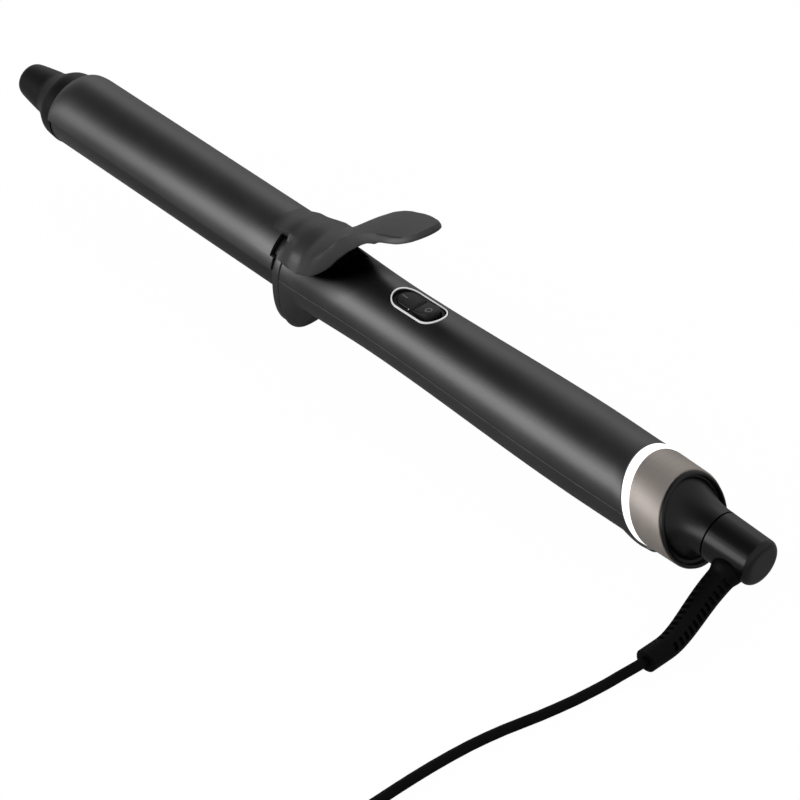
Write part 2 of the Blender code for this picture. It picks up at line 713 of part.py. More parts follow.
def make_thumb_lever(parent):
    nose_front = SADDLE_FRONT_X - NOSE_LENGTH
    sections = [nose_section(mix(nose_front, SADDLE_FRONT_X, share), share) for share in (0.0, 0.4, 0.8)]
    pad_middle = PAD_END_X - PAD_ROUND_LENGTH
    places = [SADDLE_FRONT_X, SADDLE_REAR_X]
    places += [mix(SADDLE_REAR_X, pad_middle, share) for share in spread(9)[1:]]
    places += [pad_middle + PAD_ROUND_LENGTH * math.sin(share * math.pi / 2.0) for share in spread(6)[1:-1]]
    places.append(pad_middle + PAD_ROUND_LENGTH * math.sin(0.97 * math.pi / 2.0))
    for x in places:
        sections.append(lever_section(x, ease((x - SADDLE_REAR_X) / (pad_middle - SADDLE_REAR_X))))
    lever = loft("thumb_lever", sections, CHARCOAL, parent)
    trim_sides(lever, nose_front - CUT_OVERRUN, SADDLE_FRONT_X, parent)
    return lever


def arm_top():
    """The strap lies under the lower edges of the clip's tongue."""
    return CLIP_RISE + math.sqrt(CLIP_INNER_R ** 2 - tongue_half_width() ** 2) - SEAT_GAP


def make_hinge_arm(parent):
    """Pressed bracket under the lever: a strap with two lugs round the hinge pin."""
    arm = box("clip_hinge_arm", (ARM_FRONT_X, -ARM_HALF_WIDTH, arm_top() - SHEET_THICK),
              (ARM_REAR_X, ARM_HALF_WIDTH, arm_top()), STEEL, parent)
    angles = [mix(0.0, math.pi, share) for share in spread(ARC_SIDES // 2)]
    outline = [(HINGE_X + LUG_EYE_R * math.cos(a), HINGE_Z - LUG_EYE_R * math.sin(a)) for a in angles]
    lug_top = arm_top() - SHEET_THICK / 2.0
    outline += [(HINGE_X - LUG_EYE_R, lug_top), (HINGE_X + LUG_EYE_R, lug_top)]
    for name, side in (("left", -1.0), ("right", 1.0)):
        faces = (side * LUG_INNER_Y, side * (LUG_INNER_Y + SHEET_THICK))
        boolean(arm, loft("lug_" + name, [[(x, y, z) for x, z in outline] for y in faces], None, parent), "UNION")
    bore = cylinder("lug_bore", (HINGE_X, -ARM_HALF_WIDTH - CUT_OVERRUN, HINGE_Z),
                    (HINGE_X, ARM_HALF_WIDTH + CUT_OVERRUN, HINGE_Z), HINGE_PIN_R + SEAT_GAP, None, parent)
    boolean(arm, bore)
    return arm


def make_lever_screws(arm, clip, lever, parent):
    """Two screws clamp the strap and the clip's tongue up into the lever."""
    head_top = arm_top() - SHEET_THICK - SEAT_GAP
    tip_z = CLIP_RISE + SADDLE_INNER_R + SADDLE_WALL / 2.0
    for name, x in (("front", LEVER_SCREW_FRONT_X), ("rear", LEVER_SCREW_REAR_X)):
        length = tip_z - head_top + SCREW_HEAD_HEIGHT
        head = SCREW_HEAD_HEIGHT / length
        rings = [(0.0, SCREW_HEAD_R), (head, SCREW_HEAD_R), (head, SCREW_SHANK_R), (1.0, SCREW_SHANK_R)]
        cylinder("lever_screw_" + name, (x, 0.0, head_top - SCREW_HEAD_HEIGHT), (x, 0.0, tip_z), SCREW_SHANK_R,
                 STEEL, parent, rings=rings)
        hole = cylinder("lever_screw_hole_" + name, (x, 0.0, head_top), (x, 0.0, tip_z + SEAT_GAP),
                        SCREW_SHANK_R + SEAT_GAP, None, parent)
        for piece in (arm, clip, lever):
            boolean(piece, hole)


def make_hinge_bracket(parent):
    """U-shaped bracket behind the bush; the pin runs through its two ears."""
    inner = LUG_INNER_Y + SHEET_THICK + BRACKET_EAR_GAP
    outer = inner + SHEET_THICK
    front = bush_rear() + SEAT_GAP
    floor_top = BRACKET_FLOOR_Z + SHEET_THICK
    half_width = math.sqrt((handle_radius(BRACKET_REAR_X) - SHELL_WALL) ** 2 - floor_top ** 2) - SEAT_GAP
    bracket = box("hinge_bracket", (front, -half_width, BRACKET_FLOOR_Z), (BRACKET_REAR_X, half_width, floor_top),
                  STEEL, parent)
    for side in (-1.0, 1.0):
        low = (HINGE_X - BRACKET_EAR_REACH, min(side * inner, side * outer), BRACKET_FLOOR_Z + SHEET_THICK / 2.0)
        high = (HINGE_X + BRACKET_EAR_REACH, max(side * inner, side * outer), HINGE_Z + BRACKET_EAR_TOP)
        boolean(bracket, box("bracket_ear_" + ("left" if side < 0 else "right"), low, high, None, parent), "UNION")
    bore = cylinder("bracket_bore", (HINGE_X, -outer - CUT_OVERRUN, HINGE_Z), (HINGE_X, outer + CUT_OVERRUN, HINGE_Z),
                    HINGE_PIN_R + SEAT_GAP, None, parent)
    boolean(bracket, bore)
    cylinder("hinge_pin", (HINGE_X, -HINGE_PIN_HALF_LENGTH, HINGE_Z), (HINGE_X, HINGE_PIN_HALF_LENGTH, HINGE_Z),
             HINGE_PIN_R, STEEL, parent)


def make_lever_spring(parent):
    """Torsion spring round the pin: one leg forward on the bracket's floor, one forward under the strap."""
    half = SPRING_TURNS * SPRING_PITCH / 2.0
    # the floor leg leaves the coil's foot, the strap leg leaves its top
    points = [(HINGE_X - SPRING_LEG_LENGTH, -half, HINGE_Z - SPRING_COIL_R)]
    steps = round(WIRE_SIDES * (SPRING_TURNS + 0.5))
    for k in range(steps + 1):
        turn = 2.0 * math.pi * k / WIRE_SIDES
        place = mix(-half, half, k / steps)
        points.append((HINGE_X + SPRING_COIL_R * math.sin(turn), place, HINGE_Z - SPRING_COIL_R * math.cos(turn)))
    points.append((HINGE_X - SPRING_LEG_LENGTH, half, HINGE_Z + SPRING_COIL_R))
    tube("lever_spring", points, SPRING_WIRE_R, STEEL, parent, resolution=1)


# Handle


def make_front_collar(parent):
    """Trim plate with the keel's outline, bored for the barrel."""
    bore = BARREL_R + SEAT_GAP
    sections = []
    for k in range(ROUND_SIDES):
        a = 2.0 * math.pi * k / ROUND_SIDES
        c, s = math.cos(a), math.sin(a)
        depth, power = (HANDLE_FRONT_R, 2.0) if s > 0.0 else (HANDLE_FRONT_R + COLLAR_KEEL_DROP, KEEL_POWER)
        loop = []
        for x, inset in ((COLLAR_FRONT_X, COLLAR_EDGE), (COLLAR_FRONT_X + COLLAR_EDGE, 0.0),
                         (COLLAR_REAR_X - COLLAR_EDGE, 0.0), (COLLAR_REAR_X, COLLAR_EDGE)):
            loop.append((x, (HANDLE_FRONT_R - inset) * swell(c, power), (depth - inset) * swell(s, power)))
        loop += [(COLLAR_REAR_X, bore * c, bore * s), (COLLAR_FRONT_X, bore * c, bore * s)]
        sections.append(loop)
    loft("front_collar", sections, HANDLE_BLACK, parent, wrap=True)


def shell_places(front_count, rear_count):
    """Stations of the handle's sections: before and behind the keel's end."""
    front = [mix(HANDLE_FRONT_X, KEEL_END_X, share) for share in spread(front_count)]
    rear = [mix(KEEL_END_X, handle_rear(), share) for share in spread(rear_count)[1:]]
    return front + rear


def make_upper_shell(parent):
    sections = []
    for x in shell_places(2, 10):
        r, slant = handle_radius(x), end_slant(x)
        outer = arc(r, r, HALF_SEAM, ARC_SIDES)
        inner = arc(r - SHELL_WALL, r - SHELL_WALL, HALF_SEAM, ARC_SIDES)
        sections.append([(x - slant * z, y, z) for y, z in outer + list(reversed(inner))])
    shell = loft("handle_upper_shell", sections, HANDLE_BLACK, parent)
    window = box("hinge_window", (HANDLE_FRONT_X - CUT_OVERRUN, -WINDOW_HALF_WIDTH, HINGE_Z),
                 (WINDOW_REAR_X, WINDOW_HALF_WIDTH, HANDLE_FRONT_R + CUT_OVERRUN), None, parent)
    boolean(shell, window)
    return shell


def make_lower_shell(parent):
    sections = []
    for x in shell_places(6, 10):
        r, slant = handle_radius(x), end_slant(x)
        power = mix(2.0, KEEL_POWER, keel_drop(x) / KEEL_DROP)
        outer = arc(r, r + keel_drop(x), HALF_SEAM, ARC_SIDES, power)
        inner = arc(r - SHELL_WALL, r - SHELL_WALL, HALF_SEAM, ARC_SIDES)
        sections.append([(x + slant * z, y, -z) for y, z in outer + list(reversed(inner))])
    shell = loft("handle_lower_shell", sections, HANDLE_BLACK, parent)
    boolean(shell, make_foot_lip(parent), "UNION")
    return shell


def make_foot_lip(parent):
    """Crescent under the light ring: it grows out of the shell's wall and ends in an upright face."""
    bore = RING_FRONT_R + SEAT_GAP
    root = HANDLE_REAR_R - SHELL_WALL / 2.0
    step = handle_rear() - SEAT_GAP
    sections = []
    # place, lean of the section, inner radius, share of the swell
    stations = [(LIP_START_S, RING_SLANT, root, 0.0), (mix(LIP_START_S, step, 0.5), RING_SLANT, root, 0.4),
                (step, RING_SLANT, root, 0.95), (step, RING_SLANT, bore, 0.95), (LIP_END_X, 0.0, bore, 1.0)]
    for s, slant, inner_r, share in stations:
        outer, inner = [], []
        for a in (mix(-LIP_HALF_ANGLE, LIP_HALF_ANGLE, part) for part in spread(ARC_SIDES - 1)):
            outer_r = bore + HALF_SEAM + LIP_SWELL * share * math.cos(a / LIP_HALF_ANGLE * math.pi / 2.0)
            for line, r in ((outer, outer_r), (inner, inner_r)):
                line.append((s + slant * r * math.cos(a), r * math.sin(a), -r * math.cos(a)))
        sections.append(outer + list(reversed(inner)))
    return loft("foot_lip", sections, None, parent)


def cut_feet(shell, parent):
    """Both feet end in small flats on the plane that the tool stands on."""
    front = HANDLE_FRONT_X - REAR_FOOT_X - FRONT_FOOT_DEPTH
    ground = box("ground_cut", (front, -FRONT_FOOT_DEPTH, -KEEL_DROP), (FRONT_FOOT_DEPTH, FRONT_FOOT_DEPTH, 0.0),
                 None, parent)
    ground.location = (REAR_FOOT_X, 0.0, -rear_foot_depth())
    ground.rotation_euler = (0.0, -foot_tilt(), 0.0)
    boolean(shell, ground)


def make_shell_screws(upper, lower, parent):
    """Screws from below pull the shells together through bosses on the middle line."""
    for name, x in SHELL_SCREW_XS.items():
        wall_z = handle_radius(x) - SHELL_WALL / 2.0
        lower_boss = cylinder("lower_boss_" + name, (x, 0.0, -wall_z), (x, 0.0, -HALF_SEAM), BOSS_R, None, parent)
        upper_boss = cylinder("upper_boss_" + name, (x, 0.0, HALF_SEAM), (x, 0.0, wall_z), BOSS_R, None, parent)
        boolean(lower, lower_boss, "UNION")
        boolean(upper, upper_boss, "UNION")
        out = -handle_radius(x) - CUT_OVERRUN
        head_bore = cylinder("head_bore_" + name, (x, 0.0, out), (x, 0.0, BOSS_FLOOR_Z), BOSS_HEAD_R, None, parent)
        shank_bore = cylinder("shank_bore_" + name, (x, 0.0, BOSS_FLOOR_Z - CUT_OVERRUN),
                              (x, 0.0, SHELL_SCREW_TOP_Z + SEAT_GAP), BOSS_BORE_R, None, parent)
        boolean(lower, head_bore)
        boolean(lower, shank_bore)
        boolean(upper, shank_bore)
        head_top = BOSS_FLOOR_Z - SEAT_GAP
        length = SHELL_SCREW_TOP_Z - head_top + SHELL_SCREW_HEAD_HEIGHT
        head = SHELL_SCREW_HEAD_HEIGHT / length
        rings = [(0.0, SHELL_SCREW_HEAD_R), (head, SHELL_SCREW_HEAD_R), (head, SCREW_SHANK_R), (1.0, SCREW_SHANK_R)]
        cylinder("shell_screw_" + name, (x, 0.0, head_top - SHELL_SCREW_HEAD_HEIGHT), (x, 0.0, SHELL_SCREW_TOP_Z),
                 SCREW_SHANK_R, STEEL, parent, rings=rings)


# Rocker switch


def stadium(length, width, sides=8):
    """Slot outline round the switch's middle, as (x, y) points."""
    r = width / 2.0
    straight_half = length / 2.0 - r
    points = []
    for end in (1.0, -1.0):
        for share in spread(sides + 1):
            a = mix(-math.pi / 2.0, math.pi / 2.0, share)
            points.append((SWITCH_X + end * (straight_half + r * math.cos(a)), end * r * math.sin(a)))
    return points


def slot_block(name, length, width, low, high, look, parent):
    outline = stadium(length, width)
    return loft(name, [[(x, y, low) for x, y in outline], [(x, y, high) for x, y in outline]], look, parent)


def skin_z(x, y):
    return math.sqrt(handle_radius(x) ** 2 - y * y)


def make_switch(shell, parent, rocker_parent):
    inner_length, inner_width = BEZEL_LENGTH - 2.0 * BEZEL_LINE, BEZEL_WIDTH - 2.0 * BEZEL_LINE
    # bright ring that follows the handle's surface
    sections = []
    outer_line = stadium(BEZEL_LENGTH, BEZEL_WIDTH)
    inner_line = stadium(inner_length, inner_width)
    for (xo, yo), (xi, yi) in zip(outer_line, inner_line):
        top_o, top_i = skin_z(xo, yo) + BEZEL_PROUD, skin_z(xi, yi) + BEZEL_PROUD
        sections.append([(xo, yo, top_o), (xi, yi, top_i), (xi, yi, top_i - BEZEL_DEPTH), (xo, yo, top_o - BEZEL_DEPTH)])
    loft("switch_bezel", sections, BRIGHT_TRIM, parent, wrap=True)
    opening = slot_block("switch_opening", BEZEL_LENGTH + 2.0 * SEAT_GAP, BEZEL_WIDTH + 2.0 * SEAT_GAP,
                         SWITCH_BASE_Z, HANDLE_FRONT_R + CUT_OVERRUN, None, parent)
    boolean(shell, opening)
    # body with a well for the rocker
    body = slot_block("switch_body", inner_length - 2.0 * SEAT_GAP, inner_width - 2.0 * SEAT_GAP,
                      SWITCH_BASE_Z, SWITCH_TOP_Z, MATTE_BLACK, parent)
    well = slot_block("rocker_well", ROCKER_LENGTH + 4.0 * SEAT_GAP, ROCKER_WIDTH + 2.0 * SEAT_GAP,
                      WELL_FLOOR_Z, SWITCH_TOP_Z + CUT_OVERRUN, None, parent)
    boolean(body, well)
    bearing = cylinder("rocker_bearing", (SWITCH_X, -BEZEL_WIDTH, ROCKER_PIVOT_Z),
                       (SWITCH_X, BEZEL_WIDTH, ROCKER_PIVOT_Z), ROCKER_PIN_R + SEAT_GAP, None, parent)
    boolean(body, bearing)
    lens_top = SWITCH_TOP_Z + INDICATOR_PROUD
    socket = cylinder("indicator_socket", (INDICATOR_X, INDICATOR_Y, SWITCH_TOP_Z - INDICATOR_DEPTH - SEAT_GAP),
                      (INDICATOR_X, INDICATOR_Y, SWITCH_TOP_Z + CUT_OVERRUN), INDICATOR_R + SEAT_GAP / 2.0, None, parent,
                      sides=12)
    boolean(body, socket)
    cylinder("indicator_lens", (INDICATOR_X, INDICATOR_Y, SWITCH_TOP_Z - INDICATOR_DEPTH),
             (INDICATOR_X, INDICATOR_Y, lens_top), INDICATOR_R, RING_WHITE, parent, sides=12)
    make_rocker(rocker_parent)


def make_rocker(parent):
    """Rocker cap: a shallow ridge over the pivot, front half pressed in at rest."""
    half = ROCKER_LENGTH / 2.0
    outline = stadium(ROCKER_LENGTH, ROCKER_WIDTH)
    lean = Matrix.Rotation(ROCKER_TILT, 3, "Y")
    pivot = Vector((SWITCH_X, 0.0, ROCKER_PIVOT_Z))
    low, rim, top = [], [], []
    for x, y in outline:
        away = abs(x - SWITCH_X) / half
        low.append(Vector((x, y, ROCKER_BASE_Z)))
        height = ROCKER_RIDGE_Z + away * half * math.tan(ROCKER_TILT)
        rim.append(Vector((x, y, height - SEAT_GAP)))
        top.append(Vector((mix(SWITCH_X, x, 0.96), y * 0.92, height)))
    # the rest position leans the front half down
    sections = [[pivot + lean.inverted() @ (p - pivot) for p in ring] for ring in (low, rim, top)]
    rocker = loft("rocker", sections, MATTE_BLACK, parent)
    pin_reach = ROCKER_WIDTH / 2.0 + ROCKER_PIN_LENGTH
    pins = cylinder("rocker_pins", (SWITCH_X, -pin_reach, ROCKER_PIVOT_Z), (SWITCH_X, pin_reach, ROCKER_PIVOT_Z),
                    ROCKER_PIN_R, None, parent)
    boolean(rocker, pins, "UNION")


# Electronics in the handle


def make_electronics(parent):
    seat_r = handle_radius(BOARD_FRONT_X) - SHELL_WALL - SEAT_GAP
    half = math.sqrt(seat_r ** 2 - BOARD_THICK ** 2)
    box("circuit_board", (BOARD_FRONT_X, -half, BOARD_TOP_Z - BOARD_THICK), (BOARD_REAR_X, half, BOARD_TOP_Z),
        BOARD_GREEN, parent)
    seat = BOARD_TOP_Z + SEAT_GAP
    box("power_module", (MODULE_X - MODULE_LENGTH / 2.0, -MODULE_WIDTH / 2.0, seat),
        (MODULE_X + MODULE_LENGTH / 2.0, MODULE_WIDTH / 2.0, seat + MODULE_HEIGHT), MATTE_BLACK, parent)
    cylinder("buzzer", (BUZZER_X, 0.0, seat), (BUZZER_X, 0.0, seat + BUZZER_HEIGHT), BUZZER_R, MATTE_BLACK, parent)
    cylinder("capacitor", (CAPACITOR_X, 0.0, seat), (CAPACITOR_X, 0.0, seat + CAPACITOR_HEIGHT), CAPACITOR_R,
             STEEL, parent)


# Rear end


def make_light_ring(parent):
    inner_f, inner_r = RING_FRONT_R - RING_WALL, RING_REAR_R - RING_WALL
    profile = [(RING_FRONT_S, RING_FRONT_R, RING_SLANT), (RING_REAR_S, RING_REAR_R, RING_SLANT),
               (RING_REAR_S, inner_r, RING_SLANT), (RING_FRONT_S, inner_f, RING_SLANT)]
    turned("light_ring", profile, RING_WHITE, parent)
    middle = (RING_FRONT_S + RING_REAR_S) / 2.0
    front, rear = middle - LIGHT_BOARD_THICK / 2.0, middle + LIGHT_BOARD_THICK / 2.0
    edge = inner_r - SEAT_GAP
    board = [(front, edge, RING_SLANT), (rear, edge, RING_SLANT), (rear, LIGHT_BOARD_BORE_R, RING_SLANT),
             (front, LIGHT_BOARD_BORE_R, RING_SLANT)]
    turned("light_board", board, BOARD_GREEN, parent, sides=FINE_SIDES)


def make_metal_band(parent):
    front = RING_REAR_S + SEAT_GAP
    profile = [(front, RING_REAR_R), (BAND_REAR_S, BAND_REAR_R), (BAND_REAR_S, BAND_REAR_R - BAND_WALL),
               (front, RING_REAR_R - BAND_WALL)]
    turned("metal_band", [(s, r, RING_SLANT) for s, r in profile], BAND_METAL, parent)


def make_end_cone(parent):
    """Black rim, groove and dished cone down to the swivel's neck."""
    rim_front = BAND_REAR_S + SEAT_GAP
    rim_rear = rim_front + RIM_LENGTH
    spigot_r = BAND_REAR_R - BAND_WALL - SEAT_GAP
    middle_r = (RIM_OUTER_R + RIM_INNER_R) / 2.0
    half_rim = rim_front + RIM_LENGTH / 2.0
    groove_s = rim_rear - GROOVE_DEPTH
    profile = [(CONE_SPIGOT_S, spigot_r, RING_SLANT), (rim_front, spigot_r, RING_SLANT),
               (rim_front, RIM_OUTER_R, RING_SLANT), (half_rim, RIM_OUTER_R, RING_SLANT),
               (rim_rear, middle_r, RING_SLANT), (half_rim, RIM_INNER_R, RING_SLANT),
               (groove_s, RIM_INNER_R, RING_SLANT), (groove_s, DISH_R, RING_SLANT)]
    for share in spread(6)[1:]:
        radius = NECK_R + (DISH_R - NECK_R) * (1.0 - share) ** DISH_POWER
        profile.append((mix(groove_s, CONE_END_X, share), radius, RING_SLANT * (1.0 - ease(share))))
    bore = SPINDLE_R + SEAT_GAP
    inner_x = CONE_END_X - CONE_WALL
    profile += [(CONE_END_X, bore, 0.0), (inner_x, bore, 0.0), (inner_x, NECK_R - CONE_WALL / 2.0, 0.0),
                (groove_s - CONE_WALL, DISH_R - CONE_SPIGOT_WALL, RING_SLANT),
                (CARRIER_FRONT_S + CARRIER_THICK + SEAT_GAP, spigot_r - CONE_SPIGOT_WALL, RING_SLANT),
                (CONE_SPIGOT_S, spigot_r - CONE_SPIGOT_WALL, RING_SLANT)]
    turned("end_cone", profile, SATIN_BLACK, parent)


def make_swivel(parent):
    """Tapered outlet that turns on a hollow spindle in the cone."""
    front = CONE_END_X + SEAT_GAP
    spindle_end = front - SPINDLE_LENGTH
    cavity_r = SWIVEL_REAR_R - SWIVEL_WALL
    cavity_front, cavity_rear = front + SWIVEL_WALL, SWIVEL_END_X - SWIVEL_WALL
    profile = [(SWIVEL_END_X, 0.0)]
    for share in spread(6):
        a = mix(0.0, math.pi / 2.0, share)
        x = mix(SWIVEL_END_X, SWIVEL_FILLET_X, 1.0 - math.cos(a))
        profile.append((x, mix(SWIVEL_FACE_R, SWIVEL_REAR_R, math.sin(a))))
    profile += [(front, SWIVEL_FRONT_R), (front, SPINDLE_R), (spindle_end, SPINDLE_R), (spindle_end, SPINDLE_BORE_R),
                (cavity_front, SPINDLE_BORE_R), (cavity_front, cavity_r), (cavity_rear, cavity_r), (cavity_rear, 0.0)]
    housing = turned("swivel_housing", straight(profile), SATIN_BLACK, parent, sides=FINE_SIDES)
    direction = Vector((0.0, -math.cos(EXIT_ANGLE), math.sin(EXIT_ANGLE)))
    centre = Vector((EXIT_X, 0.0, 0.0))
    hole = cylinder("exit_hole", centre + direction * (cavity_r - CUT_OVERRUN),
                    centre + direction * (SWIVEL_FRONT_R + CUT_OVERRUN), EXIT_HOLE_R, None, parent)
    boolean(housing, hole)
    # snap ring behind the cone's end wall, contact disc on the spindle's end and two fixed brushes
    ring_rear = CONE_END_X - CONE_WALL - SEAT_GAP
    ring_front = ring_rear - RETAINER_THICK
    retainer_bore = SPINDLE_R + SEAT_GAP / 2.0
    ring = [(ring_front, RETAINER_R), (ring_rear, RETAINER_R), (ring_rear, retainer_bore), (ring_front, retainer_bore)]
    turned("swivel_retainer", straight(ring), STEEL, parent, sides=SMALL_SIDES)
    disc_rear = spindle_end - SEAT_GAP
    cylinder("contact_disc", (disc_rear - CONTACT_DISC_THICK, 0.0, 0.0), (disc_rear, 0.0, 0.0), CONTACT_DISC_R,
             BRASS, parent)
    return disc_rear - CONTACT_DISC_THICK


def make_brushes(disc_front, parent):
    """Fixed sliding contacts in front of the disc, held by a carrier plate across the cone's spigot."""
    edge = BAND_REAR_R - BAND_WALL - SEAT_GAP - CONE_SPIGOT_WALL - SEAT_GAP
    rear_s = CARRIER_FRONT_S + CARRIER_THICK
    profile = [(CARRIER_FRONT_S, 0.0, RING_SLANT), (CARRIER_FRONT_S, edge, RING_SLANT), (rear_s, edge, RING_SLANT),
               (rear_s, 0.0, RING_SLANT)]
    carrier = turned("brush_carrier", profile, GREY_PLASTIC, parent, sides=FINE_SIDES)
    rear = disc_front - SEAT_GAP
    half = BRUSH_SIZE / 2.0
    slot = half + SEAT_GAP
    for name, y in (("contact_brush_inner", BRUSH_INNER_Y), ("contact_brush_outer", -BRUSH_OUTER_Y)):
        boolean(carrier, box(name + "_slot", (rear - 2.0 * BRUSH_LENGTH, y - slot, -slot), (rear, y + slot, slot),
                             None, parent))
        box(name, (rear - BRUSH_LENGTH, y - half, -half), (rear, y + half, half), BRASS, parent)


# Cord, coil, tie and plug


def exit_frame(world):
    direction = (world.to_3x3() @ Vector((0.0, -math.cos(EXIT_ANGLE), math.sin(EXIT_ANGLE)))).normalized()
    return world @ Vector((EXIT_X, 0.0, 0.0)), direction


def relief_end(world):
    centre, _ = exit_frame(world)
    return Vector((centre.x + RELIEF_DRIFT_X, RELIEF_REACH_Y, RELIEF_END_R + HALF_SEAM))


def bezier(a, b, c, d, t):
    return a * (1 - t) ** 3 + b * 3 * t * (1 - t) ** 2 + c * 3 * t ** 2 * (1 - t) + d * t ** 3


def make_strain_relief(world, parent):
    """Ribbed sleeve: straight root in the housing, ribs by formula, plain end sleeve flat on the table."""
    centre, direction = exit_frame(world)
    start = centre + direction * RELIEF_SEAT_R
    ribs_start = centre + direction * (FLARE_START + FLARE_LENGTH)
    finish_point = relief_end(world)
    back = Vector((0.0, 1.0, 0.0))
    sleeve_start = finish_point + back * RELIEF_SLEEVE
    points = [start, centre + direction * (FLARE_START - SEAT_GAP), centre + direction * FLARE_START,
              centre + direction * (FLARE_START + FLARE_LENGTH / 2.0)]
    radii = [RELIEF_PLUG_R, RELIEF_PLUG_R, FLARE_R, mix(FLARE_R, RELIEF_ROOT_R, 0.75)]
    bow = Vector((-RELIEF_BOW_X, 0.0, 0.0))
    handles = (ribs_start, ribs_start + direction * RELIEF_START_PULL + bow, sleeve_start + back * RELIEF_END_PULL,
               sleeve_start)
    for k in range(2 * RELIEF_RIBS + 1):
        share = k / (2 * RELIEF_RIBS)
        points.append(bezier(*handles, share))
        crest = mix(RELIEF_ROOT_R, RELIEF_END_R, share)
        radii.append(crest - (RELIEF_GROOVE if k % 2 else 0.0))
    points.append(finish_point)
    radii.append(RELIEF_END_R)
    return tube("strain_relief", points, RELIEF_ROOT_R, MATTE_BLACK, parent, radii=radii)


def coil_span():
    return COIL_PITCH * (COIL_STEPS_PER_LAYER / COIL_POINTS_PER_TURN + 0.25)


def coil_line(base_z):
    """Piled turns, in and out by layer; each climb takes the half turn in which the spiral reverses."""
    step = 2.0 * math.pi / COIL_POINTS_PER_TURN
    quarter = COIL_POINTS_PER_TURN // 4
    lift = COIL_PITCH / (2.0 * quarter)
    moves, way = [], -1.0
    for layer in range(COIL_LAYERS):
        moves += [(way, 0.0)] * COIL_STEPS_PER_LAYER
        if layer < COIL_LAYERS - 1:
            moves += [(way, lift)] * quarter + [(-way, lift)] * quarter
            way = -way
    centre = Vector((COIL_X, COIL_Y, 0.0))
    angle, radius, height = COIL_START_ANGLE, COIL_MIDDLE_R + coil_span() / 2.0, base_z
    points = []
    for way, rise in moves + [(0.0, 0.0)]:
        points.append(centre + Vector((radius * math.cos(angle), radius * math.sin(angle), height)))
        angle += step
        radius += way * COIL_PITCH / COIL_POINTS_PER_TURN
        height += rise
    # both ends run straight for one diameter of the cord
    lead_in = (points[0] - points[1]).normalized() * COIL_END_RUN
    lead_out = (points[-1] - points[-2]).normalized() * COIL_END_RUN
    return [points[0] + lead_in] + points + [points[-1] + lead_out]


def least_gap(points, radius):
    """Smallest clear gap between turns, measured point to segment past the neighbouring pieces of the line."""
    skip = COIL_POINTS_PER_TURN // 2
    nearest = 1.0
    for i, p in enumerate(points):
        for j in range(i + skip, len(points) - 1):
            a, b = points[j], points[j + 1]
            t = min(max((p - a).dot(b - a) / (b - a).length_squared, 0.0), 1.0)
            nearest = min(nearest, (p - a.lerp(b, t)).length)
    return nearest - 2.0 * radius


def make_coil(parent):
    base_z = TIE_THICK + TIE_GAP + CORD_R
    line = coil_line(base_z)
    gap = least_gap(line, CORD_R)
    print("least gap between the coil's turns (mm):", round(gap / MM, 3), "asked:", round(COIL_MIN_GAP / MM, 3))
    lengths = [(b - a).length for a, b in zip(line, line[1:])]
    print("length of cord in the coil (mm):", round(sum(lengths) / MM, 1))
    tube("cord_coil", line, CORD_R, MATTE_BLACK, parent, resolution=1)
    make_tie(base_z, parent)
    return line


def make_tie(base_z, parent):
    """Strap round the whole bundle at one side of the coil."""
    half_span = (coil_span() + COIL_PITCH / 4.0) / 2.0 + CORD_R + TIE_GAP
    inner_r, outer_r = COIL_MIDDLE_R - half_span, COIL_MIDDLE_R + half_span
    low = base_z - CORD_R - TIE_GAP
    high = base_z + COIL_PITCH * (COIL_LAYERS - 1) + CORD_R + TIE_GAP
    out, up = Vector((math.cos(TIE_ANGLE), math.sin(TIE_ANGLE), 0.0)), Vector((0.0, 0.0, 1.0))
    side = Vector((-math.sin(TIE_ANGLE), math.cos(TIE_ANGLE), 0.0))
    centre = Vector((COIL_X, COIL_Y, 0.0))
    corners = [(inner_r, low), (outer_r, low), (outer_r, high), (inner_r, high)]
    grown = [(inner_r - TIE_THICK, low - TIE_THICK), (outer_r + TIE_THICK, low - TIE_THICK),
             (outer_r + TIE_THICK, high + TIE_THICK), (inner_r - TIE_THICK, high + TIE_THICK)]
    sections = []
    for (r0, z0), (r1, z1) in zip(corners, grown):
        near, far = centre + out * r0 + up * z0, centre + out * r1 + up * z1
        half = side * (TIE_WIDTH / 2.0)
        sections.append([near - half, near + half, far + half, far - half])
    loft("cord_tie", sections, MATTE_BLACK, parent, wrap=True)


def cord_route(world, coil):
    """Route of the visible stretch: level out of the relief, along the table and up to the coil's first turn."""
    start = relief_end(world) + Vector((0.0, -SEAT_GAP, 0.0))
    heading = (coil[1] - coil[0]).normalized()
    end = coil[0] - heading * SEAT_GAP
    return [
        start,
        (start.x - CORD_R / 8.0, start.y - 2.0 * CORD_R, start.z),
        (175.9 * MM, -57.5 * MM, 2.3 * MM),
        (175.0 * MM, -63.3 * MM, CORD_R),
        (173.6 * MM, -74.0 * MM, CORD_R),
        (171.1 * MM, -86.5 * MM, CORD_R),
        (168.2 * MM, -98.0 * MM, CORD_R),
        (166.0 * MM, -110.0 * MM, CORD_R),
        (164.7 * MM, -124.0 * MM, CORD_R),
        (164.2 * MM, -138.0 * MM, CORD_R),
        (164.2 * MM, -152.0 * MM, 1.9 * MM),
        end - heading * COIL_END_RUN,
        end,
    ]


def make_cord(world, parent, coil):
    line = [Vector((p.x, p.y, max(p.z, CORD_R))) for p in smooth_route(cord_route(world, coil), CORD_STEP)]
    tube("cord", line, CORD_R, MATTE_BLACK, parent)
    lengths = [(b - a).length for a, b in zip(line, line[1:])]
    print("length of the visible stretch (mm):", round(sum(lengths) / MM, 1))


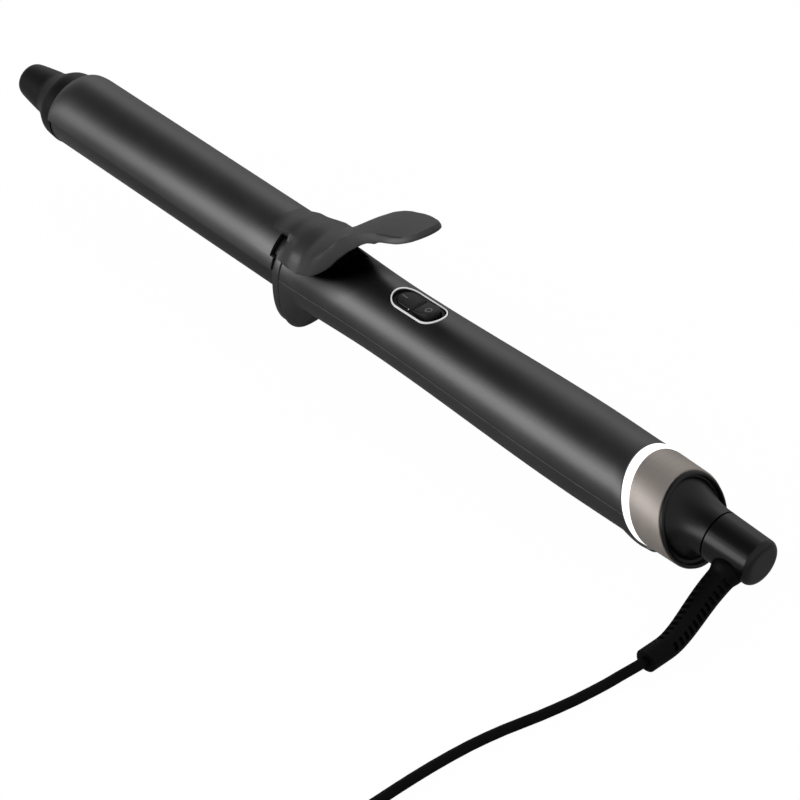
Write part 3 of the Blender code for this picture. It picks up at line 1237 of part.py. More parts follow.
def make_tail_and_plug(parent, coil):
    """Last short stretch from the coil's top turn down to the plug beside it."""
    heading = (coil[-1] - coil[-2]).normalized()
    side = Vector((-heading.y, heading.x, 0.0))
    entry_z = PLUG_THICK / 2.0
    neck = coil[-1] + heading * PLUG_RUN
    neck.z = entry_z

    def place(ahead, across, height):
        return neck + heading * ahead + side * across + Vector((0.0, 0.0, height - entry_z))

    start, end, run = coil[-1] + heading * SEAT_GAP, neck - heading * SEAT_GAP, heading * COIL_END_RUN
    line = smooth_route([start, start + run, start.lerp(end, 0.5), end - run, end], CORD_STEP)
    tube("cord_tail", line, CORD_R, MATTE_BLACK, parent)
    # body with rounded edges: each ring is a rounded rectangle square to the cord
    half_width, half_thick = PLUG_WIDTH / 2.0, PLUG_THICK / 2.0
    face = PLUG_NECK_LENGTH + PLUG_LENGTH
    outline = [(0.0, PLUG_NECK_R, PLUG_NECK_R, 2.0), (PLUG_NECK_LENGTH * 0.7, PLUG_NECK_R, PLUG_NECK_R, 2.0),
               (PLUG_NECK_LENGTH, half_width * 0.6, half_thick * 0.8, 2.6),
               (PLUG_NECK_LENGTH + PLUG_EDGE * 2.0, half_width, half_thick, 5.0),
               (face - PLUG_EDGE, half_width, half_thick, 5.0), (face, half_width - PLUG_EDGE, half_thick - PLUG_EDGE, 5.0)]
    sections = []
    for ahead, wide, thick, power in outline:
        angles = [2.0 * math.pi * k / SMALL_SIDES for k in range(SMALL_SIDES)]
        sections.append([place(ahead, wide * swell(math.cos(a), power), entry_z + thick * swell(math.sin(a), power))
                         for a in angles])
    body = loft("plug_body", sections, MATTE_BLACK, parent)
    for name, across in (("plug_pin_left", PIN_SPACING / 2.0), ("plug_pin_right", -PIN_SPACING / 2.0)):
        sunk = place(face - PIN_SINK, across, entry_z)
        socket = cylinder(name + "_socket", sunk - heading * SEAT_GAP, place(face + CUT_OVERRUN, across, entry_z),
                          PIN_R + SEAT_GAP, None, parent)
        boolean(body, socket)
        cylinder(name, sunk, sunk + heading * PIN_LENGTH, PIN_R, BRASS, parent)


def main():
    clear_scene()
    world = tool_to_world()
    tool = empty("tool_axis", None, (0.0, 0.0, 0.0))
    tool.matrix_world = world
    clip_axis = empty("clip_hinge_axis", tool, (HINGE_X, 0.0, HINGE_Z))
    rocker_axis = empty("rocker_axis", tool, (SWITCH_X, 0.0, ROCKER_PIVOT_Z))
    swivel_axis = empty("cord_swivel_axis", tool, (EXIT_X, 0.0, 0.0))
    table = empty("cord_on_table", swivel_axis, (0.0, 0.0, 0.0))
    bpy.context.view_layer.update()
    table.matrix_world = Matrix.Identity(4)
    make_barrel(tool)
    make_cool_tip(tool)
    make_heater(tool)
    make_barrel_bush(tool)
    clip = make_clip_plate(clip_axis)
    lever = make_thumb_lever(clip_axis)
    arm = make_hinge_arm(clip_axis)
    make_lever_screws(arm, clip, lever, clip_axis)
    make_hinge_bracket(tool)
    make_lever_spring(tool)
    make_front_collar(tool)
    upper = make_upper_shell(tool)
    lower = make_lower_shell(tool)
    cut_feet(lower, tool)
    make_shell_screws(upper, lower, tool)
    make_switch(upper, tool, rocker_axis)
    make_electronics(tool)
    make_light_ring(tool)
    make_metal_band(tool)
    make_end_cone(tool)
    disc_front = make_swivel(swivel_axis)
    make_brushes(disc_front, tool)
    make_strain_relief(world, table)
    coil = make_coil(table)
    make_cord(world, table, coil)
    make_tail_and_plug(table, coil)


main()
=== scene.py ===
"""Looks of a corded curling tong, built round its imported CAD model.

Pieces are modelled on the tool's own axis, where X runs from the tip to the cord end and Z is up through the
thumb pad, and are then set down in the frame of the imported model. The cord lies on the table, so it is made
there at once. Lengths are in metres, angles in radians.
"""
import json
import math

import bmesh
import bpy
from mathutils import Matrix, Vector


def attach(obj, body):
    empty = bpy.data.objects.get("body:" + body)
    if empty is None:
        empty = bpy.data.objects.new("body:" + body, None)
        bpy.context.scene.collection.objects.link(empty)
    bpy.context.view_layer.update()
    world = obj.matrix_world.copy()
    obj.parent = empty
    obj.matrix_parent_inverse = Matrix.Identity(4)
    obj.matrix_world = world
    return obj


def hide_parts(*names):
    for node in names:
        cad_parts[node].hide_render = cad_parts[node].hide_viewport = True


bl_info = {
    "name": "Curling Tong",
    "version": (1, 0, 0),
    "blender": (4, 5, 0),
    "location": "View3D > Sidebar > Curling Tong",
    "description": "Dresses the packed model of a curling tong in finished pieces and materials",
    "category": "Add Mesh",
}

MM = 0.001
DEG = math.pi / 180.0
MERGE = 0.002 * MM
ROUND_SIDES = 96

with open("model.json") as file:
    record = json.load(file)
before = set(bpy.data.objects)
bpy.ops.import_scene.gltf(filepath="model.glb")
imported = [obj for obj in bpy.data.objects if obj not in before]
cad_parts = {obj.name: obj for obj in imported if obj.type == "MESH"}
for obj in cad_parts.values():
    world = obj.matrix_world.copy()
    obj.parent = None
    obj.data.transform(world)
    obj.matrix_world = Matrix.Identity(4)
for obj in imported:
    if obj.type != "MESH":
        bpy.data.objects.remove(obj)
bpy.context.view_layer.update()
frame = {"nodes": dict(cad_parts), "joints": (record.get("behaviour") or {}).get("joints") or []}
JOINTS = {joint["name"]: joint for joint in frame["joints"]}

# Place of the swivel's pivot on the tool's axis, and the tool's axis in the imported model
EXIT_X = 22.0 * MM
SWIVEL_PIVOT = Vector(JOINTS["cord_swivel_turn"]["pos_m"])
TOOL_AXIS = Vector(JOINTS["cord_swivel_turn"]["axis"]).normalized()

# Camera on the tool's axis: place, focal length and the directions right, down and forward
CAMERA_PLACE = Vector((441.0972, -558.9517, 611.1044)) * MM
CAMERA_RIGHT = Vector((0.68495739, 0.72818146, 0.02418962))
CAMERA_DOWN = Vector((0.46963543, -0.41588831, -0.77876793))
CAMERA_FORWARD = Vector((-0.55702418, 0.54478315, -0.62684558))
CAMERA_LENS = 135.0
CAMERA_SENSOR = 36.0

# Clearance between pieces that seat in each other, and the parting line
SEAT_GAP = 0.3 * MM
HALF_SEAM = 0.15 * MM

# Barrel and cool tip
BARREL_R = 13.0 * MM
BARREL_WALL = 1.3 * MM
BARREL_FRONT_X = -304.1 * MM
BARREL_REAR_X = -177.5 * MM
TIP_END_X = -332.7 * MM
TIP_SPIGOT_LENGTH = 11.0 * MM
TIP_OUTLINE_SHARES = [
    (0.00, 0.31), (0.01, 0.41), (0.05, 0.49), (0.16, 0.545), (0.40, 0.63), (0.52, 0.665), (0.59, 0.715),
    (0.69, 0.83), (0.75, 0.91), (0.83, 0.98), (1.0, 1.02),
]

# Clip plate
CLIP_FRONT_X = -303.6 * MM
CLIP_REAR_X = -182.5 * MM
CLIP_GAP = 0.2 * MM
CLIP_INNER_R = BARREL_R + CLIP_GAP
CLIP_WALL = 1.4 * MM
CLIP_RISE = 1.4 * MM
CLIP_HALF_ANGLE = 87.0 * DEG
CLIP_SHOULDER_LENGTH = 7.5 * MM
CLIP_SHOULDER_FALL = 2.3 * MM
TONGUE_HALF_ANGLE = 15.0 * DEG
TONGUE_LENGTH = 18.0 * MM
SLOT_WIDTH = 2.2 * MM

# Thumb lever
SADDLE_GAP = 0.4 * MM
SADDLE_INNER_R = CLIP_INNER_R + CLIP_WALL + SADDLE_GAP
SADDLE_WALL = 1.7 * MM
SADDLE_HALF_ANGLE = 67.0 * DEG
SADDLE_FRONT_X = CLIP_REAR_X + SLOT_WIDTH
SADDLE_REAR_X = -167.0 * MM
PAD_END_X = -117.2 * MM
PAD_HALF_WIDTH = 10.3 * MM
PAD_EDGE_DEPTH = 3.4 * MM
PAD_WALL = 1.9 * MM
PAD_ROUND_LENGTH = 13.0 * MM
PAD_DISH_DEPTH = 0.5 * MM
NECK_X = -150.0 * MM
NECK_HALF_WIDTH = 11.6 * MM
NECK_EDGE_DEPTH = 7.5 * MM
CROWN_RISE = 29.85 * MM
CROWN_LINE_SHARES = [
    (0.0, 0.0), (0.08, 0.06), (0.18, 0.19), (0.34, 0.45), (0.42, 0.55), (0.525, 0.665), (0.60, 0.73),
    (0.66, 0.77), (0.72, 0.81), (0.78, 0.838), (0.85, 0.87), (0.93, 0.93), (1.0, 1.0),
]
HINGE_Z = 8.0 * MM

# Handle
COLLAR_FRONT_X = -180.5 * MM
COLLAR_REAR_X = -177.2 * MM
COLLAR_KEEL_DROP = 10.3 * MM
COLLAR_EDGE = 0.5 * MM
HANDLE_FRONT_X = -176.9 * MM
COLLAR_STEP = 1.3 * MM
HANDLE_FRONT_R = BARREL_R + COLLAR_STEP
WAIST_X = -134.0 * MM
WAIST_R = 13.35 * MM
BELLY_X = -42.0 * MM
BELLY_R = 15.2 * MM
HANDLE_REAR_R = 14.95 * MM
SHELL_WALL = 2.0 * MM
KEEL_TRIM = 0.9 * MM
KEEL_DROP = COLLAR_KEEL_DROP + KEEL_TRIM
KEEL_POWER = 2.4
KEEL_END_X = -169.3 * MM
WINDOW_REAR_X = -154.3 * MM
WINDOW_HALF_WIDTH = 6.6 * MM
SLANT_START_X = -60.0 * MM
RING_SLANT = 0.45
LIP_START_S = -24.0 * MM
LIP_END_X = -4.8 * MM
LIP_HALF_ANGLE = 62.0 * DEG
LIP_SWELL = 1.7 * MM
BOSS_R = 3.0 * MM
BOSS_HEAD_R = 2.4 * MM
BOSS_FLOOR_Z = -8.2 * MM

# Rocker switch
SWITCH_X = -122.7 * MM
BEZEL_LENGTH = 22.4 * MM
BEZEL_WIDTH = 11.6 * MM
BEZEL_LINE = 0.6 * MM
BEZEL_PROUD = 0.15 * MM
BEZEL_DEPTH = 1.6 * MM
SWITCH_TOP_Z = 12.0 * MM
SWITCH_BASE_Z = 2.6 * MM
WELL_FLOOR_Z = 7.6 * MM
ROCKER_END_MARGIN = 1.8 * MM
ROCKER_SIDE_MARGIN = 1.6 * MM
ROCKER_LENGTH = BEZEL_LENGTH - 2.0 * (BEZEL_LINE + ROCKER_END_MARGIN)
ROCKER_WIDTH = BEZEL_WIDTH - 2.0 * (BEZEL_LINE + ROCKER_SIDE_MARGIN)
ROCKER_PIVOT_Z = 10.4 * MM
ROCKER_RIDGE_Z = 12.7 * MM
ROCKER_BASE_Z = 9.3 * MM
ROCKER_TILT = 7.0 * DEG
INDICATOR_R = 0.55 * MM
INDICATOR_X = -123.6 * MM
INDICATOR_Y = -4.3 * MM
INDICATOR_DEPTH = 0.7 * MM
INDICATOR_PROUD = 0.15 * MM

# Rear end
RING_FRONT_S = -14.0 * MM
RING_REAR_S = -11.0 * MM
RING_PROUD = 0.2 * MM
RING_TAPER = 0.2 * MM
RING_FRONT_R = HANDLE_REAR_R + RING_PROUD
RING_REAR_R = RING_FRONT_R - RING_TAPER
RING_WALL = 2.0 * MM
BAND_REAR_S = 1.3 * MM
BAND_GAP = 0.05 * MM
BAND_TAPER = 0.25 * MM
BAND_REAR_R = RING_REAR_R - BAND_TAPER
BAND_WALL = 1.0 * MM
CONE_SPIGOT_S = -8.0 * MM
CONE_SPIGOT_WALL = 1.8 * MM
RIM_LENGTH = 1.0 * MM
RIM_STEP = 0.45 * MM
RIM_WIDTH = 1.15 * MM
RIM_OUTER_R = BAND_REAR_R - RIM_STEP
RIM_INNER_R = RIM_OUTER_R - RIM_WIDTH
GROOVE_DEPTH = 1.5 * MM
GROOVE_WIDTH = 0.9 * MM
DISH_R = RIM_INNER_R - GROOVE_WIDTH
DISH_POWER = 2.4
CONE_END_X = 12.0 * MM
NECK_R = 8.55 * MM
CONE_WALL = 2.0 * MM
SWIVEL_FRONT_R = 8.5 * MM
SWIVEL_REAR_R = 7.95 * MM
SWIVEL_FILLET_X = 28.2 * MM
SWIVEL_END_X = 30.5 * MM
SWIVEL_FACE_R = 5.2 * MM
SWIVEL_WALL = 2.0 * MM
SPINDLE_R = 4.7 * MM
SPINDLE_BORE_R = 3.2 * MM
SPINDLE_LENGTH = 9.5 * MM
EXIT_HOLE_R = 4.2 * MM
RELIEF_PLUG_R = 3.9 * MM

BEZEL_BRIGHT_LINE = 0.42 * MM
BEZEL_BRIGHT_DEPTH = 0.25 * MM
LENS_DOME_R = 0.22 * MM
LENS_RISE = 0.95 * MM
LENS_DARK = 0.55 * MM
LENS_SHIFT = 0.35 * MM
VALLEY_HALF = 0.8 * MM
VALLEY_DEPTH = 1.1 * MM
BAR_PLACE = (-6.6 * MM, 0.1 * MM)
CIRCLE_PLACE = (5.4 * MM, -0.5 * MM)
MARK_R = 1.3 * MM
MARK_LENGTH = 2.6 * MM
MARK_PROUD = 0.03 * MM
RELIEF_PITCH = 2.7 * MM
RELIEF_SIDES = 72
NOTCH_HALF_ANGLE = 18.0 * DEG
NOTCH_ANGLES = (28.0 * DEG, 118.0 * DEG, 208.0 * DEG, 298.0 * DEG)
SHELL_SCREW_XS = (-146.0 * MM, -101.0 * MM, -40.0 * MM)
CARRIER_REAR_S = -4.9 * MM
BARREL_EDGE = 0.25 * MM
CLIP_EDGE = 0.35 * MM
LEVER_SIDES = 128
LEVER_EDGE = 0.5 * MM
SEAM_EDGE = 0.12 * MM
BEZEL_EDGE = 0.12 * MM
SWITCH_EDGE = 0.2 * MM
ROCKER_EDGE = 0.5 * MM
RING_EDGE = 0.15 * MM
BAND_EDGE = 0.15 * MM
SWIVEL_EDGE = 0.3 * MM
# the lever's flat top: where it is fully flat, its share of the section, its fall and how far the side leans out
PAD_FLAT_X = -146.0 * MM
PAD_TOP_SHARE = 0.72
PAD_TOP_FALL = 0.9 * MM
PAD_SIDE_LEAN = 1.2 * MM
NOSE_LENGTH = 9.5 * MM
LEVER_DEPTHS = [(x * MM, depth * MM) for x, depth in (
    (-167.0, 10.17), (-165.0, 10.3), (-163.0, 10.7), (-161.0, 11.3), (-159.0, 11.8), (-157.0, 12.1), (-155.0, 12.2),
    (-153.0, 11.4), (-151.0, 10.4), (-149.0, 9.6), (-146.0, 8.1), (-142.0, 6.6), (-138.0, 5.2), (-134.0, 4.4),
    (-130.0, 3.7), (-127.0, 3.4), (-117.2, 3.3))]
SADDLE_WIDE_X = -162.0 * MM
# the slot between the clip plate and the saddle, beside the tongue
SLOT_TOP_ANGLE = 28.0 * DEG
SKIRT_GAP = 0.25 * MM
SLOT_REAR_X = -178.3 * MM
SADDLE_FRONT_DROP = 1.5 * MM
SHOULDER_RISE = 1.0 * MM
SHOULDER_ANGLE = 42.0 * DEG
SADDLE_RAMP = 7.0 * MM

# Strain relief
EXIT_ANGLE = -30.0 * DEG
RELIEF_SEAT_R = 6.6 * MM
FLARE_R = 5.5 * MM
FLARE_START = 8.75 * MM
FLARE_LENGTH = 2.4 * MM
RELIEF_ROOT_R = 4.55 * MM
RELIEF_END_R = 3.85 * MM
RELIEF_SLEEVE = 7.6 * MM
RELIEF_REACH_Y = -48.3 * MM
RELIEF_DRIFT_X = 5.0 * MM
RELIEF_BOW_X = 0.6 * MM
RELIEF_START_PULL = 12.0 * MM
RELIEF_END_PULL = 9.0 * MM

# Cord on the table
CORD_R = 1.7 * MM
CORD_GAP = 0.3 * MM
CORD_STEP = 6.0 * MM
TIE_THICK = 0.6 * MM
TIE_GAP = 0.35 * MM
TIE_WIDTH = 6.0 * MM
TIE_ANGLE = 30.0 * DEG
TIE_LAP = 0.4 * MM
COIL_CENTRE = Vector((187.0, -186.0, 0.0)) * MM
COIL_START_ANGLE = 150.0 * DEG
COIL_MIDDLE_R = 20.9 * MM
COIL_PITCH = 3.9 * MM
COIL_LAYERS = 4
COIL_STEPS_PER_LAYER = 101
COIL_POINTS_PER_TURN = 24
COIL_END_RUN = 2 * CORD_R
PLUG_LENGTH = 34.0 * MM
PLUG_WIDTH = 24.0 * MM
PLUG_THICK = 13.0 * MM
PLUG_NECK_R = 3.0 * MM
PLUG_NECK_LENGTH = 10.0 * MM
PLUG_RUN = 29.0 * MM
PIN_R = 2.0 * MM
PIN_LENGTH = 19.0 * MM
PIN_SPACING = 19.0 * MM
PIN_SINK = 4.0 * MM
PIN_SLEEVE = 9.0 * MM


def mix(a, b, share):
    return a + (b - a) * share


def ease(share):
    share = min(max(share, 0.0), 1.0)
    return share * share * (3.0 - 2.0 * share)


def tool_to_world():
    """Sets a point on the tool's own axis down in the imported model's frame."""
    side = Vector((0.0, 1.0, 0.0))
    up = TOOL_AXIS.cross(side)
    turn = Matrix((TOOL_AXIS, side, up)).transposed().to_4x4()
    return Matrix.Translation(SWIVEL_PIVOT - TOOL_AXIS * EXIT_X) @ turn


class Value:
    """A shader socket or number that takes part in Python expressions."""

    def __init__(self, nodes, socket):
        self.nodes = nodes
        self.socket = socket

    def maths(self, operation, first, second=None):
        sockets = [first] if second is None else [first, second]
        return self.nodes.add("ShaderNodeMath", {"operation": operation}, dict(enumerate(sockets)))

    def __add__(self, other):
        return self.maths("ADD", self, other)

    def __sub__(self, other):
        return self.maths("SUBTRACT", self, other)

    def __rsub__(self, other):
        return self.maths("SUBTRACT", other, self)

    def __mul__(self, other):
        return self.maths("MULTIPLY", self, other)

    def __truediv__(self, other):
        return self.maths("DIVIDE", self, other)

    def __gt__(self, other):
        return self.maths("GREATER_THAN", self, other)

    def __lt__(self, other):
        return self.maths("LESS_THAN", self, other)

    def __abs__(self):
        return self.maths("ABSOLUTE", self)

    __radd__ = __add__
    __rmul__ = __mul__


class Nodes:
    """Node tree of one material or world."""

    def __init__(self, owner):
        self.owner = owner
        owner.use_nodes = True
        self.tree = owner.node_tree
        self.tree.nodes.clear()

    def add(self, kind, settings, sockets, output=0):
        """Adds a node: its settings first, then values or links into its sockets; gives one output."""
        node = self.tree.nodes.new(kind)
        for key, value in settings.items():
            if key == "stops":
                self.set_stops(node.color_ramp, value)
            else:
                setattr(node, key, value)
        for key, value in sockets.items():
            if isinstance(value, Value):
                self.tree.links.new(value.socket, node.inputs[key])
            else:
                node.inputs[key].default_value = value
        return Value(self, node.outputs[output]) if node.outputs else node

    @staticmethod
    def set_stops(ramp, stops):
        while len(ramp.elements) < len(stops):
            ramp.elements.new(1.0)
        for element, (place, level) in zip(ramp.elements, stops):
            element.position = place
            element.color = (level, level, level, 1.0)

    def place(self, scale=(1.0, 1.0, 1.0), turn=(0.0, 0.0, 0.0)):
        """Object coordinates, turned and scaled."""
        where = self.add("ShaderNodeTexCoord", {}, {}, "Object")
        return self.add("ShaderNodeMapping", {}, {"Vector": where, "Scale": scale, "Rotation": turn})

    def noise(self, scale, detail=2.0, vector=None, roughness=0.5):
        sockets = {"Scale": scale, "Detail": detail, "Roughness": roughness,
                   "Vector": self.place() if vector is None else vector}
        return self.add("ShaderNodeTexNoise", {}, sockets, "Fac")

    def spread(self, value, low, high, to_low=0.0, to_high=1.0):
        sockets = {"Value": value, "From Min": low, "From Max": high, "To Min": to_low, "To Max": to_high}
        return self.add("ShaderNodeMapRange", {}, sockets)

    def blend(self, share, a, b):
        sockets = {"Factor": share, 6: a if isinstance(a, Value) else (*a, 1.0),
                   7: b if isinstance(b, Value) else (*b, 1.0)}
        return self.add("ShaderNodeMix", {"data_type": "RGBA"}, sockets, 2)

    def bump(self, height, strength, distance):
        return self.add("ShaderNodeBump", {}, {"Height": height, "Strength": strength, "Distance": distance})

    def along(self, direction, vector=None):
        """Distance of a point along a direction."""
        sockets = {0: self.place() if vector is None else vector, 1: tuple(direction)}
        return self.add("ShaderNodeVectorMath", {"operation": "DOT_PRODUCT"}, sockets, "Value")

    def finish(self, sockets):
        """Ends the tree with a Principled shader."""
        surface = self.add("ShaderNodeBsdfPrincipled", {}, sockets)
        self.add("ShaderNodeOutputMaterial", {}, {"Surface": surface})
        return self.owner


def colour_property(name, description, default):
    return bpy.props.FloatVectorProperty(name=name, description=description, default=default, size=3, min=0.0,
                                         max=1.0, subtype="COLOR")


def length_property(name, description, default):
    return bpy.props.FloatProperty(name=name, description=description, default=default, min=0.0, precision=5,
                                   subtype="DISTANCE", unit="LENGTH")


class TONG_PG_colours(bpy.types.PropertyGroup):
    """Colours of the tong"""

    barrel: colour_property("Barrel", "Satin coating of the barrel", (0.095, 0.095, 0.097))
    clip: colour_property("Clip", "Satin coating of the clip plate", (0.135, 0.135, 0.137))
    tip: colour_property("Tip", "Moulding of the cool tip", (0.013, 0.013, 0.0135))
    lever: colour_property("Lever", "Satin moulding of the thumb lever", (0.09, 0.09, 0.092))
    handle: colour_property("Handle", "Satin coating of the handle's shells", (0.13, 0.13, 0.132))
    switch: colour_property("Switch", "Moulding of the switch and its rocker", (0.012, 0.012, 0.012))
    marks: colour_property("Marks", "Print of the marks for on and off", (0.34, 0.34, 0.35))
    bezel: colour_property("Bezel", "Bright ring round the switch", (0.9, 0.9, 0.9))
    ring: colour_property("Light Ring", "Glow of the light ring", (1.0, 1.0, 1.0))
    band: colour_property("Band", "Brushed metal band", (0.56, 0.505, 0.465))
    cone: colour_property("Cone", "Moulding of the rear cone and the swivel", (0.004, 0.004, 0.0042))
    rubber: colour_property("Rubber", "Strain relief, cord and plug", (0.0025, 0.0025, 0.0025))


class TONG_PG_sizes(bpy.types.PropertyGroup):
    """Sizes of the tong's fine details"""

    seam: length_property("Seam", "Gap between the handle's two shells", 0.12 * MM)
    seam_edge: length_property("Seam Edge", "Rounding of the shells' edges", 0.3 * MM)
    clip_edge: length_property("Clip Edge", "Rounding of the clip plate's edges", 0.35 * MM)
    lever_edge: length_property("Lever Edge", "Rounding of the thumb lever's edges", 0.4 * MM)
    collar_edge: length_property("Collar Edge", "Rounding of the front collar", 0.5 * MM)
    bezel_edge: length_property("Bezel Edge", "Rounding of the bright ring", 0.12 * MM)
    rocker_edge: length_property("Rocker Edge", "Rounding of the rocker", 0.5 * MM)
    mark_line: length_property("Mark Line", "Width of the lines of the marks", 0.34 * MM)
    notch_depth: length_property("Notch Depth", "Depth of the strain relief's notches", 0.9 * MM)
    tie_edge: length_property("Tie Corner", "Rounding of the cord tie's outer corners", 2.5 * MM)


def tinted(colour, share):
    return tuple(share * c for c in colour)


def moulded(name, colour, roughness, specular=0.5, grain=0.3, grain_scale=2600.0):
    """Moulded plastic: spark-eroded grain, faint clouds in its sheen and a few paler specks."""
    nodes = Nodes(bpy.data.materials.new(name))
    cloud = nodes.spread(nodes.noise(60.0, 3.0), 0.3, 0.7)
    fine = nodes.noise(grain_scale, 2.0)
    pits = nodes.add("ShaderNodeTexVoronoi", {"feature": "SMOOTH_F1"},
                     {"Vector": nodes.place(), "Scale": 0.6 * grain_scale, "Smoothness": 0.6}, "Distance")
    return nodes.finish({
        "Base Color": nodes.blend(cloud * 0.7 + fine * 0.3, tinted(colour, 0.86), tinted(colour, 1.14)),
        "Roughness": roughness + (cloud - 0.5) * 0.05 + (fine - 0.5) * 0.06,
        "Specular IOR Level": specular,
        "Normal": nodes.bump(fine * 0.6 + pits * 0.4, grain, 0.02 * MM),
    })


def coated(name, colour, roughness, metal=0.95, shade=None):
    """Sprayed satin coating with fine flakes of metal and a slight ripple.

    Where shade gives a place and three radii, the coat turns near black there as painted shade, and clears outwards.
    """
    nodes = Nodes(bpy.data.materials.new(name))
    cloud = nodes.spread(nodes.noise(35.0, 3.0), 0.3, 0.7)
    flakes = nodes.spread(nodes.noise(4200.0, 1.0), 0.58, 0.72)
    ripple = nodes.noise(420.0, 2.0)
    fine = nodes.noise(3200.0, 2.0)
    coat = nodes.blend(cloud * 0.6 + flakes * 0.4, tinted(colour, 0.88), tinted(colour, 1.22))
    if shade is not None:
        centre, radii = shade
        away = nodes.add("ShaderNodeVectorMath", {"operation": "SUBTRACT"}, {0: nodes.place(), 1: tuple(centre)})
        away = nodes.add("ShaderNodeVectorMath", {"operation": "DIVIDE"}, {0: away, 1: tuple(radii)})
        away = nodes.add("ShaderNodeVectorMath", {"operation": "LENGTH"}, {0: away}, "Value")
        # painted shade: near black inside the ellipsoid that shade gives, clearing outwards
        coat = nodes.blend(nodes.spread(away, 0.82, 1.2), tinted(colour, 0.02), coat)
    return nodes.finish({
        "Base Color": coat,
        "Roughness": roughness + (cloud - 0.5) * 0.05 + (fine - 0.5) * 0.04,
        "Metallic": metal,
        "Normal": nodes.bump(fine * 0.7 + ripple * 0.3, 0.18, 0.012 * MM),
    })


def plated(name, colour, roughness, glow=0.0):
    """Bright plating with faint polishing haze, and a painted glow of the given strength."""
    nodes = Nodes(bpy.data.materials.new(name))
    haze = nodes.spread(nodes.noise(300.0, 3.0), 0.3, 0.7)
    fine = nodes.noise(2400.0, 2.0)
    return nodes.finish({
        "Base Color": nodes.blend(haze, tinted(colour, 0.96), tinted(colour, 1.02)),
        "Metallic": 0.25,
        "Roughness": roughness + (haze - 0.5) * 0.08,
        # painted glow: the plating gives off light of its own though it is no lamp
        "Emission Color": (*colour, 1.0),
        "Emission Strength": glow,
        "Normal": nodes.bump(fine, 0.06, 0.01 * MM),
    })


def brushed(name, colour, roughness, metal=1.0):
    """Metal brushed round the tool's axis, with a softly clouded tone."""
    nodes = Nodes(bpy.data.materials.new(name))
    lines = nodes.noise(1400.0, 3.0, nodes.place(scale=(1.0, 0.03, 0.03)))
    wide = nodes.noise(240.0, 2.0, nodes.place(scale=(1.0, 0.05, 0.05)))
    tone = lines * 0.65 + wide * 0.35
    return nodes.finish({
        "Base Color": nodes.blend(nodes.spread(tone, 0.3, 0.7), tinted(colour, 0.92), tinted(colour, 1.06)),
        "Metallic": metal,
        "Roughness": roughness + (lines - 0.5) * 0.12,
        "Normal": nodes.bump(lines, 0.10, 0.01 * MM),
    })


def machined(name, colour, roughness):
    """Plain metal with fine tool marks, a little cloudy in tone and in dullness."""
    nodes = Nodes(bpy.data.materials.new(name))
    marks = nodes.noise(1800.0, 2.0, nodes.place(scale=(1.0, 1.0, 0.08), turn=(0.2, 0.5, 0.0)))
    cloud = nodes.spread(nodes.noise(140.0, 4.0), 0.3, 0.7)
    return nodes.finish({
        "Base Color": nodes.blend(cloud * 0.6 + marks * 0.4, tinted(colour, 0.8), tinted(colour, 1.08)),
        "Metallic": 1.0,
        "Roughness": roughness + (cloud - 0.5) * 0.14 + (marks - 0.5) * 0.1,
        "Normal": nodes.bump(marks, 0.15, 0.015 * MM),
    })


def fired(name, colour):
    """Fired ceramic: pale, slightly mottled, with fine pores."""
    nodes = Nodes(bpy.data.materials.new(name))
    mottle = nodes.spread(nodes.noise(220.0, 4.0), 0.3, 0.7)
    pores = nodes.spread(nodes.noise(2800.0, 1.0), 0.28, 0.4)
    return nodes.finish({
        "Base Color": nodes.blend(mottle * 0.7 + pores * 0.3, tinted(colour, 0.84), colour),
        "Roughness": 0.62 - (mottle - 0.5) * 0.1,
        "Normal": nodes.bump(pores, 0.3, 0.03 * MM),
    })


def printed_board(name, colour):
    """Circuit board: solder resist over raised traces, with bare tinned pads."""
    nodes = Nodes(bpy.data.materials.new(name))
    bricks = nodes.add("ShaderNodeTexBrick", {"offset": 0.37, "squash": 0.6},
                       {"Vector": nodes.place(), "Scale": 260.0, "Mortar Size": 0.06, "Mortar Smooth": 0.2}, "Fac")
    weave = nodes.noise(900.0, 2.0)
    dots = nodes.add("ShaderNodeTexVoronoi", {}, {"Vector": nodes.place(), "Scale": 420.0}, "Distance")
    pads = dots < 0.16
    resist = nodes.blend(bricks * 0.7 + weave * 0.3, tinted(colour, 0.75), tinted(colour, 1.5))
    return nodes.finish({
        "Base Color": nodes.blend(pads, resist, (0.62, 0.62, 0.6)),
        "Metallic": pads * 0.9,
        "Roughness": 0.42 - pads * 0.12 + (weave - 0.5) * 0.08,
        "Normal": nodes.bump(bricks, 0.35, 0.03 * MM),
    })


def rubbery(name, colour, roughness):
    """Soft sheath: dull, dusty in its pores, with a fine drag along it."""
    nodes = Nodes(bpy.data.materials.new(name))
    dust = nodes.spread(nodes.noise(900.0, 4.0), 0.45, 0.75)
    drag = nodes.noise(1600.0, 2.0, nodes.place(scale=(1.0, 0.12, 1.0)))
    return nodes.finish({
        "Base Color": nodes.blend(dust * 0.6 + drag * 0.2, colour, tinted(colour, 2.2)),
        "Roughness": roughness + (dust - 0.5) * 0.08,
        "Specular IOR Level": 0.1,
        "Normal": nodes.bump(drag * 0.5 + dust * 0.5, 0.25, 0.02 * MM),
    })


def woven(name, colour):
    """Woven strap: crossed ribs with a soft pile between them."""
    nodes = Nodes(bpy.data.materials.new(name))
    ribs = []
    for direction in ("DIAGONAL", "Z"):
        ribs.append(nodes.add("ShaderNodeTexWave", {"bands_direction": direction, "wave_profile": "SIN"},
                              {"Vector": nodes.place(), "Scale": 700.0, "Distortion": 0.6}, "Fac"))
    pile = nodes.noise(3000.0, 2.0)
    height = ribs[0] * ribs[1] * 0.7 + pile * 0.3
    return nodes.finish({
        "Base Color": nodes.blend(height, colour, tinted(colour, 3.0)),
        "Roughness": 0.8 + (pile - 0.5) * 0.2,
        "Specular IOR Level": 0.2,
        "Normal": nodes.bump(height, 0.6, 0.06 * MM),
    })


